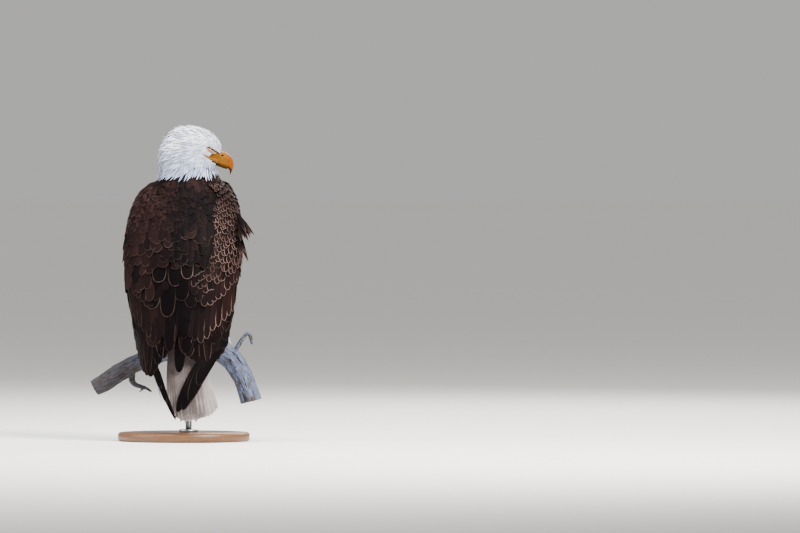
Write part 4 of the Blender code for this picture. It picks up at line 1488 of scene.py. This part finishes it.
def primaryFeathers(side):
    reach = np.array(featherPlans["primary"]["reach"])
    lines, widths, lifts = [], [], []
    total = pathAt(primaryPaths[side], (0, 1))[1]
    for rank, (short, shift, width) in enumerate(primaryPlan[side]):
        line = pathAt(primaryPaths[side], reach * (1 - short / total))[0]
        line[:, 0] += shift * reach ** 2
        lines.append(line)
        widths.append(width)
        lifts.append((-0.003 - 0.0008 * rank, 0.0012 - 0.0011 * rank))
    lines = np.array(lines)
    normals = unit(lines * (1, 1, 0) - np.array((0, axisBack, 0)) + np.array((0, -0.06, 0)))
    return vanes("primaries" + side, lines, normals, widths, np.array(lifts),
                 perFeather(len(lines), *primaryPlan["marks"]), "primary", primaryPlan["cell"])


# Loose ends: ruffled tufts off the right wing's edge, white down by the right leg and the bright
# outermost tail edge beside the left wing tip.
strayTufts = {
    # start, end, each strand's width, how many strands, how far they spread
    "brown": (((0.141, -0.034, 0.568), (0.175, -0.052, 0.500), 0.0100, 9, 0.0065),
              ((0.142, -0.038, 0.555), (0.160, -0.056, 0.500), 0.0100, 6, 0.0060),
              ((0.143, -0.032, 0.512), (0.160, -0.052, 0.449), 0.0090, 9, 0.0050),
              ((0.140, -0.038, 0.500), (0.151, -0.052, 0.440), 0.0090, 5, 0.0050)),
    "white": (((0.104, -0.048, 0.285), (0.123, -0.060, 0.243), 0.008, 6, 0.004),
              ((-0.0585, -0.120, 0.190), (-0.033, -0.149, 0.086), 0.005, 1, 0.0)),
}


def straysOf(kind):
    reach = np.array(featherPlans["hackle"]["reach"])[:, None]
    lines, widths = [], []
    for start, end, width, strands, spread in strayTufts[kind]:
        for _ in range(strands):
            near = np.array(start) + chance.normal(0, spread * 0.3, 3)
            far = near + (np.array(end) - near) * (1 - 0.35 * chance.random() * (strands > 1))
            far += chance.normal(0, spread, 3) * (1, 0.6, 0.4)
            bend = np.array((0, -0.003, 0)) * reach * (1 - reach) * 4
            lines.append(near + (far - near) * reach + bend)
            widths.append(width * (0.7 + 0.5 * chance.random()))
    count = len(lines)
    normals = np.broadcast_to(unit(np.array((0.25, -1.0, -0.2))), (count, len(reach), 3))
    marks = perFeather(count, varied(count, 0.1, 0.6), 0.35, varied(count, 0.3, 0.9))
    marks[:, 2] *= kind == "brown"
    return vanes(kind + "Strays", np.array(lines), normals, widths, np.zeros((count, 2)), marks,
                 "hackle", 0.008)


finished(straysOf("brown"), brownVane, "brown_feathers")
finished(straysOf("white"), whiteVane, "white_feathers")
for side in sides:
    finished(primaryFeathers(side), brownVane, "dark_flight_feathers", "primaries_" + side)


# Tail: twelve white feathers in a shallow fan, the middle pair on top, their ends frayed.
tailPlan = {
    "root": (0.0046, -0.102, 0.264),
    "tip": (0.0375, -0.156, 0.0560),
    "count": 12,
    "spreadRoot": 0.020,
    "spread": 0.038,
    "shorter": (0.26, 0.07),  # how much shorter the outermost feathers are, left and right
    "width": 0.038,
    "droop": 0.010,  # how far the outermost feathers' ends lie under the middle ones'
    "lift": (0.002, 0.0035),
    "frays": 6,
    "frayLength": 0.020,
    "frayWidth": 0.0042,
}


def tailFeathers():
    plan, along = tailPlan, np.array(featherPlans["tail"]["reach"])
    root, tip = np.array(plan["root"]), np.array(plan["tip"])
    run = tip - root
    across = unit(np.array((-run[2], 0, run[0])))
    out = unit(np.cross(run, across))
    out = out if out[1] < 0 else -out
    lines, lifts, frays, frayLifts, frayTones = [], [], [], [], []
    places = np.linspace(-1, 1, plan["count"])
    # Painted shade: the left feathers, in the left wing's shade, are darker; the right ones
    # lighter.
    tones = (0.10 + blend(-1.0, 0.3, places) * 0.20 + blend(0.35, 0.85, places) * 0.60
             + chance.normal(0, 0.07, plan["count"]))
    brush = np.array(featherPlans["hackle"]["reach"])[:, None]
    for place, tone in zip(places, tones):
        short = plan["shorter"][int(place > 0)] + 0.02 * chance.random()
        reach = along * (1 - short * abs(place) ** 2.4)
        spread = place * (plan["spreadRoot"] + plan["spread"] * reach) * (1 - 0.22 * (place < 0))
        line = root + run * reach[:, None] + across * spread[:, None]
        line -= out * (plan["droop"] * place * place * reach)[:, None]
        low, lift = (height * (1 - abs(place)) for height in plan["lift"])
        lines.append(line)
        lifts.append((low, lift))
        for k in range(plan["frays"]):
            aside = (k + 0.5 + 0.5 * chance.normal()) / plan["frays"] * 2 - 1
            near = line[-4] + across * aside * plan["width"] * 0.40
            way = unit(run) + across * (aside * 0.20 + 0.06 * chance.normal())
            frays.append(near + way * brush * plan["frayLength"] * (0.75 + 0.4 * chance.random()
                                                                    - 0.25 * aside * aside))
            frayLifts.append((lift, lift + 0.0006 + 0.001 * chance.random()))
            frayTones.append(tone)
    lines, frays = np.array(lines), np.array(frays)
    parts = []
    for name, rows, lift, tone, width, kind, edge, cell in (
            ("tailFeathers", lines, lifts, tones, plan["width"], "tail", 0.45, 0.08),
            ("tailFrays", frays, frayLifts, frayTones, plan["frayWidth"], "hackle", 0.35, 0.01)):
        count = len(rows)
        # The darker feathers also get more of the cool tone: painted shade.
        marks = perFeather(count, np.clip(tone, 0, 1), edge, np.clip(0.6 - np.array(tone), 0, 1))
        parts.append(vanes(name, rows, np.broadcast_to(out, rows.shape), width, np.array(lift),
                           marks, kind, cell))
    return joined("tailFeathers", parts)


finished(tailFeathers(), tailVane, "white_feathers", "tail")
print("flight feathers and tail")


# Bill: hard horn over the solids' shape, with the cere's edge, nostrils and mouth line worked in.
# ridge is a painted highlight; edge and nostrilShade are painted shade.
billLook = {"horn": "#703d00", "hook": "#693800", "ridge": "#80500c", "edge": "#240d02",
            "cere": "#6f4905", "nostrilShade": "#1c0503"}
billPlan = {
    "voxel": 0.0007,
    "nostril": (0.0805, -0.0015, 0.0050, 0.0028),  # forward, up, half length and half height
    "nostrilTilt": 0.25,
    "nostrilDepth": 0.0022,
    "cere": (0.083, 0.0865),  # where the cere's step ends
    "cereStep": 0.0006,
    "edge": (-0.0145, -0.61, 0.0708),  # the cutting edge: height, slope and where it is that high
    "edgeDrop": 0.0072,
}


def sculpted(piece, moves):
    points = corners(piece.data)
    points += corners(piece.data, "normal") * moves(points)[:, None]
    setCorners(piece.data, points)


def nostril(points, depth):
    # An oval hollow on both sides of the bill.
    forward, rise, long, tall = billPlan["nostril"]
    tilt = billPlan["nostrilTilt"]
    f, u, _ = headPlace(points)
    f, u = f - forward, u - rise
    a = f * math.cos(tilt) + u * math.sin(tilt)
    b = u * math.cos(tilt) - f * math.sin(tilt)
    return -depth * (1 - blend(0.45, 1.0, np.sqrt((a / long) ** 2 + (b / tall) ** 2)))


def billRelief(points):
    f, u, _ = headPlace(points)
    step = billPlan["cereStep"] * (1 - blend(*billPlan["cere"], f + 0.25 * u))
    return nostril(points, billPlan["nostrilDepth"]) + step


def deepened(piece):
    # Draws the upper half's cutting edge down over the lower half near the mouth's corner.
    points = corners(piece.data)
    f, u, _ = headPlace(points)
    height, slope, forward = billPlan["edge"]
    edge = height + slope * (f - forward)
    share = (1 - blend(0.0, 0.011, u - edge)) * (1 - blend(0.078, 0.103, f))
    points[:, 2] -= billPlan["edgeDrop"] * share
    setCorners(piece.data, points)


def billFinish():
    # Polished keratin: warm yellow, a painted highlight on its ridge, painted shade on the cutting
    # edges.
    material, tree = newMaterial("bill keratin")
    tint, place = attribute(tree, "tint", "Color"), objectPlace(tree)
    lines = noiseOf(tree, stretched(tree, place, (150, 150, 900), (0, math.radians(35), 0)),
                    detail=3.0)
    worn = rangeOf(tree, noiseOf(tree, place, 220.0, 4.0), 0.3, 0.75, 0.82, 1.12)
    bright = addNode(tree, "SeparateColor", inputs={"Color": tint}).outputs["Red"]
    return shade(material, {
        "Base Color": mixOf(tree, 1.0, tint, worn, "MULTIPLY"),
        "Normal": bumpOf(tree, lines, 0.12, 0.0004),
        "Roughness": rangeOf(tree, bright, 0.02, 0.10, 0.95, 0.32), "Specular IOR Level": 0.1})


paintBill = {
    # distances over which each colour fades in
    # ridge: a painted highlight along the top
    "ridge": (0.008, 0.0, -0.006, 0.006),  # out from the middle, and up
    # rim: painted shade along the cutting edge
    "rim": (0.0006, 0.0052, 0.0305, 0.088, 0.44),  # up from the cutting edge, and that edge's line
    "edgeShadeFront": (0.102, 0.110),
    "hook": (0.085, 0.112),
    "cere": (0.080, 0.092),
    "shares": {"cere": 0.8, "hook": 1.0, "ridge": 0.4, "edge": 0.85, "nostrilShade": 1.0},
}


def colourBill(piece):
    plan, points = paintBill, corners(piece.data)
    f, u, out = headPlace(points)
    aside, middleOut, low, high = plan["ridge"]
    near, far, down, ahead, slope = plan["rim"]
    shares = {
        "cere": 1 - blend(*plan["cere"], f + 0.25 * u),
        "hook": blend(*plan["hook"], f),
        "ridge": blend(aside, middleOut, out) * blend(low, high, u),
        "edge": ((1 - blend(near, far, u + down + (f - ahead) * slope))
                 * (1 - blend(*plan["edgeShadeFront"], f))),
        # painted shade in the nostril's hollow
        "nostrilShade": np.clip(-nostril(points, 1.0), 0, 1),
    }
    tint = np.tile(toLinear(billLook["horn"]), (len(points), 1))
    for name, share in shares.items():
        tinted(tint, billLook[name], share * plan["shares"][name])
    paintPoints(piece.data, "tint", tint)


def makeBill():
    horn = billFinish()
    for part in ("upper", "lower"):
        piece = rebuilt(copyOf("bill" + part, "bill_" + part), billPlan["voxel"], 0.6, 10)
        if part == "upper":
            deepened(piece)
            sculpted(piece, billRelief)
        colourBill(piece)
        piece.data.shade_smooth()
        finished(piece, horn, "bill_horn", "bill_" + part)


makeBill()


# Perch: a dead, weathered branch; its cracks run along it.
branch = {
    "axis": ((-0.226, 0.131), (-0.188, 0.1535), (-0.150, 0.1785), (-0.105, 0.2005), (-0.047, 0.222),
             (0.012, 0.231), (0.052, 0.231), (0.088, 0.2255), (0.121, 0.203), (0.147, 0.163),
             (0.164, 0.121), (0.170, 0.100)),
    "voxel": 0.0016,
    "crackDepth": 0.0013,
    "cracks": (24, 150, 150),  # how fine they are along the branch and across it
    "crackWidth": 7,  # more makes them narrower
    "knotDepth": 0.0020,
    "knots": (30, 28, 28),
}
barkLook = {"grain": "#1c1e27", "wood": "#6a779a", "bark": "#3c3633", "warm": "#8f735c",
            "crack": "#121012"}


def grainPlace(points):
    # Along the branch, and across it in two directions, as if it were straight.
    axis = np.array([(x, 0, z) for x, z in branch["axis"]])
    starts, runs = axis[:-1], np.diff(axis, axis=0)
    spans = np.linalg.norm(runs, axis=1)
    before = np.concatenate([[0], np.cumsum(spans)[:-1]])
    along = np.einsum("pkc,kc->pk", points[:, None] - starts[None], runs)
    share = np.clip(along / spans ** 2, 0, 1)
    gaps = points[:, None] - (starts[None] + runs[None] * share[..., None])
    best = np.argmin(np.linalg.norm(gaps, axis=2), axis=1)
    rows = np.arange(len(points))
    gap, run = gaps[rows, best], runs[best] / spans[best][:, None]
    rise = np.stack([-run[:, 2], np.zeros(len(run)), run[:, 0]], axis=1)
    return np.stack([before[best] + share[rows, best] * spans[best], gap[:, 1],
                     np.sum(gap * rise, axis=1)], axis=1)


def barkFinish():
    # Sun-bleached dead wood: blue-grey, with painted shade in its cracks, and brown where bark
    # still clings.
    material, tree = newMaterial("weathered dead wood")
    grain = attribute(tree, "grain", "Vector")
    fine = noiseOf(tree, stretched(tree, grain, (45, 700, 700)), detail=5.0, roughness=0.65)
    cracks = noiseOf(tree, stretched(tree, grain, (28, 190, 190)), detail=4.0, roughness=0.6,
                     distortion=0.6)
    stain = rangeOf(tree, noiseOf(tree, grain, 55.0, 4.0), 0.5, 0.68, smooth=True)
    tones = rampOf(tree, fine, (0.34, barkLook["grain"]), (0.70, barkLook["wood"]))
    stained = mixOf(tree, stain, tones, barkLook["bark"])
    along = addNode(tree, "SeparateXYZ", inputs={"Vector": grain}).outputs["X"]
    warmed = mixOf(tree, rangeOf(tree, along, 0.20, 0.10, 0.0, 0.9), stained, barkLook["warm"],
                   "MULTIPLY")
    # Painted shade in the cracks.
    split = rangeOf(tree, cracks, 0.455, 0.37, smooth=True)
    return shade(material, {
        "Base Color": mixOf(tree, split, warmed, barkLook["crack"]),
        "Normal": bumpOf(tree, mathOf(tree, "SUBTRACT", fine, split), 0.8, 0.0012),
        "Roughness": 0.85})


def roughened(points):
    places = grainPlace(points)
    crack, lump = ([noise.noise(Vector(place)) for place in places * branch[key]]
                   for key in ("cracks", "knots"))
    cracks = np.maximum(0.0, 1 - np.abs(crack) * branch["crackWidth"])
    return np.array(lump) * branch["knotDepth"] - branch["crackDepth"] * cracks


def makePerch():
    perch = rebuilt(copyOf("perchWood", "perch"), branch["voxel"], 0.5, 8)
    grain = grainPlace(corners(perch.data))
    sculpted(perch, roughened)
    paintPoints(perch.data, "grain", grain, "FLOAT_VECTOR")
    perch.data.shade_smooth()
    finished(perch, barkFinish(), "bark", "perch")


makePerch()
print("bill and perch")


# Eyes: a yellow iris and its white, both painted darker as shade under the brow; black pupil and a
# clear wet surface; bare wrinkled lids.
eyeLook = {"iris": "#86692c", "rim": "#35260f", "pupil": "#050505", "white": "#6b6152"}
eyeRings = ((0.36, "pupil"), (0.42, "rim"), (0.52, "iris"), (0.68, "iris"), (0.76, "rim"),
            (0.82, "white"))  # distance from the gaze, in centimetres
cornea = (0.045, 0.3, 0.62)  # how far it bulges, and between where that fades, in radii


def eyeFinish():
    # A living eye: fibres run out from the pupil; the surface is glassy.
    material, tree = newMaterial("eye glass")
    fibres = addNode(tree, "TexNoise", {"noise_dimensions": "1D"}, {
        "W": attribute(tree, "round"), "Scale": 9.0, "Detail": 3.0}).outputs["Fac"]
    ring = mathOf(tree, "MULTIPLY_ADD", fibres, 0.0008, attribute(tree, "fromGaze"))
    rings = rampOf(tree, mathOf(tree, "DIVIDE", ring, 0.010),
                   *((place, eyeLook[name]) for place, name in eyeRings))
    return shade(material, {"Base Color": rings, "Roughness": 0.05, "IOR": 1.34,
                            "Coat Weight": 0.25, "Coat Roughness": 0.02})


def makeEyes():
    glass, radius = eyeFinish(), eyePlan["radius"]
    for side in sides:
        ball = newBall("eyeball" + side, 48, 32)
        gaze, along, across = eyeFrame(side)
        turn = Matrix((along, across, gaze)).transposed()
        points = corners(ball.data)
        fromMiddle = np.linalg.norm(points[:, :2], axis=1)
        fromGaze = np.where(points[:, 2] > 0, fromMiddle * radius, radius)
        paintPoints(ball.data, "fromGaze", fromGaze, "FLOAT")
        paintPoints(ball.data, "round", np.arctan2(points[:, 1], points[:, 0]), "FLOAT")
        bulge = 1 + cornea[0] * (1 - blend(*cornea[1:], fromMiddle)) * (points[:, 2] > 0)
        points = (points * bulge[:, None] * (radius - 0.0001)) @ np.array(turn).T
        setCorners(ball.data, points + eyeSpots[side])
        ball.data.shade_smooth()
        finished(ball, glass, "eye_glass", "eye_" + side)


def lidFinish():
    # Thin wrinkled skin, darkest at the lid's wet edge; the upper lid is kept dark all over as
    # painted shadow of the brow.
    material, tree = newMaterial("eyelid skin")
    grain = noiseOf(tree, objectPlace(tree), 1400.0, 3.0)
    return shade(material, {
        "Base Color": rampOf(tree, attribute(tree, "reach"), (0.04, lidLook["edge"]),
                             (0.16, lidLook["main"]), (0.9, lidLook["far"])),
        "Normal": bumpOf(tree, grain, 0.4, 0.0003), "Roughness": 0.55})


makeEyes()
finished(lids, lidFinish(), "leg_skin")


# Gape: the soft yellow corner of the mouth, from the bill back to under the eye.
gapePlan = {
    "columns": 26,
    "sink": 0.80,  # how deep the roll lies, as a share of its radius
    "plump": 0.98,
    "taper": 0.14,  # share of its length in which its back end thins out
    "rounds": 4,
}
softLook = {"gape": "#714a06", "leg": "#a5740f", "crease": "#6a3f08", "gapeCrease": "#553404"}


def tube(name, points, radii, around=14):
    # A closed round rod along given points.
    points = [Vector(p) for p in points]
    vertices, faces, side = [], [], None
    for i, point in enumerate(points):
        run = (points[min(i + 1, len(points) - 1)] - points[max(i - 1, 0)]).normalized()
        side = side or up.cross(run)
        side = (side - run * side.dot(run)).normalized()
        other = run.cross(side)
        for k in range(around):
            turn = math.tau * k / around
            vertices.append(point + (side * math.cos(turn) + other * math.sin(turn)) * radii[i])
    for i in range(0, (len(points) - 1) * around, around):
        for k in range(around):
            n = (k + 1) % around
            faces.append((i + k, i + n, i + around + n, i + around + k))
    faces.append(tuple(range(around - 1, -1, -1)))
    faces.append(tuple(range((len(points) - 1) * around, len(points) * around)))
    mesh = bpy.data.meshes.new(name)
    mesh.from_pydata(vertices, [], faces)
    mesh.update()
    return linked(name, mesh)


def softFinish(name, colour, crease, roughness, scale):
    # Waxy scaled skin: small plates with darker creases between them.
    material, tree = newMaterial(name)
    place = objectPlace(tree)
    plates = addNode(tree, "TexVoronoi", {"feature": "DISTANCE_TO_EDGE"},
                     {"Vector": place, "Scale": scale}).outputs["Distance"]
    gap = rangeOf(tree, plates, 0.0, 0.12)
    tone = mathOf(tree, "MULTIPLY_ADD", noiseOf(tree, place, 120.0, 4.0), 0.5, gap, clamp=True)
    return shade(material, {
        "Base Color": mixOf(tree, tone, crease, colour), "Normal": bumpOf(tree, gap, 0.5, 0.0004),
        "Roughness": roughness, "Specular IOR Level": 0.15})


def makeGape():
    parts, plan = [], gapePlan
    share = np.linspace(0, 1, plan["columns"])
    line = pathAt(gapeLine, share)[0]
    radii = line[:, 2] * plan["plump"] * np.sqrt(np.clip(share / plan["taper"], 0.04, 1))
    for side in sides:
        out = faceLeft if side == "left" else -faceLeft
        spots = []
        for (f, u, _), radius in zip(line, radii):
            start = headCentre + face * f + up * u + out * 0.08
            spots.append(skinTree.ray_cast(start, -out)[0] - out * radius * plan["sink"])
        spots = np.array(spots)
        for _ in range(plan["rounds"]):
            spots[1:-1] = (spots[:-2] + spots[1:-1] * 2 + spots[2:]) / 4
        parts.append(tube("gape" + side, spots, radii))
    piece = joined("gapeSkin", parts)
    piece.data.shade_smooth()
    finished(piece, softFinish("soft yellow skin", softLook["gape"], softLook["gapeCrease"],
                               0.45, 1500.0), "leg_skin")


makeGape()


# Feet: scutes across the toes' tops, small scales elsewhere.
footPlan = {"voxel": 0.0010, "clawVoxel": 0.0005, "perchRadius": 0.030,
            "toes": (0.043, 0.052),  # distances from the branch's middle where the toes end
            "scute": 0.0034, "scuteDepth": 0.0005, "crease": 0.12}


def scutes(points):
    place = grainPlace(points)
    turn = np.arctan2(place[:, 1], place[:, 2])
    onToe = 1 - blend(*footPlan["toes"], np.hypot(place[:, 1], place[:, 2]))
    run = np.where(onToe > 0.5, turn * footPlan["perchRadius"], points[:, 2])
    phase = (run / footPlan["scute"]) % 1.0
    return -footPlan["scuteDepth"] * np.exp(-((phase - 0.5) / footPlan["crease"]) ** 2)


def clawFinish():
    # Black horn, greyer where it is worn, with fine lengthwise lines.
    material, tree = newMaterial("claw keratin")
    cloud = noiseOf(tree, objectPlace(tree), 300.0, 4.0)
    return shade(material, {
        "Base Color": mixOf(tree, cloud, "#060505", "#1f1c1a"),
        "Normal": bumpOf(tree, cloud, 0.15, 0.0003), "Roughness": 0.32,
        "Specular IOR Level": 0.25})


def makeFeet():
    skinOfLegs = softFinish("scaled leg skin", softLook["leg"], softLook["crease"], 0.5, 900.0)
    horn = clawFinish()
    for side in sides:
        foot = rebuilt(copyOf("legSkin" + side, "foot_" + side), footPlan["voxel"], 0.5, 16)
        sculpted(foot, scutes)
        foot.data.shade_smooth()
        finished(foot, skinOfLegs, "leg_skin", "foot_" + side)
        for toe in ("inner", "middle", "outer", "hind"):
            nodeName = "claw_" + side + "_" + toe
            claw = rebuilt(copyOf("claw" + side + toe, nodeName), footPlan["clawVoxel"], 0.5, 4)
            claw.data.shade_smooth()
            finished(claw, horn, "claw_horn", nodeName)


makeFeet()
print("eyes, mouth and feet")


# Display stand: a turned and oiled wooden base, and a steel rod with a collar.
standPlan = {"edge": 0.003, "steelEdge": 0.0012}


def standFinish(name, dark, light, metal, roughness, scale):
    # Closed grain along the board, or fine turning lines round the steel.
    material, tree = newMaterial(name)
    grain = noiseOf(tree, stretched(tree, objectPlace(tree), scale), detail=4.0, roughness=0.6)
    return shade(material, {
        "Base Color": mixOf(tree, grain, dark, light), "Normal": bumpOf(tree, grain, 0.1, 0.0004),
        "Roughness": roughness, "Metallic": metal})


def makeStand():
    wood = standFinish("oiled walnut", "#3a2415", "#7a5232", 0.0, 0.42, (9, 260, 260))
    steel = standFinish("satin steel", "#83868a", "#a9adb1", 1.0, 0.35, (40, 40, 900))
    for nodeName, material, slot, edge in (
            ("stand_base", wood, "stand_wood", standPlan["edge"]),
            ("stand_rod", steel, "stand_steel", 0.0),
            ("stand_collar", steel, "stand_steel", standPlan["steelEdge"])):
        piece = copyOf(nodeName.replace("stand_", "stand"), nodeName)
        if edge:
            modified(piece, "BEVEL", width=edge, segments=4, limit_method="ANGLE",
                     angle_limit=math.radians(50))
        piece.data.shade_smooth()
        piece.data.set_sharp_from_angle(angle=math.radians(40))
        finished(piece, material, slot, nodeName)


makeStand()
print("stand")
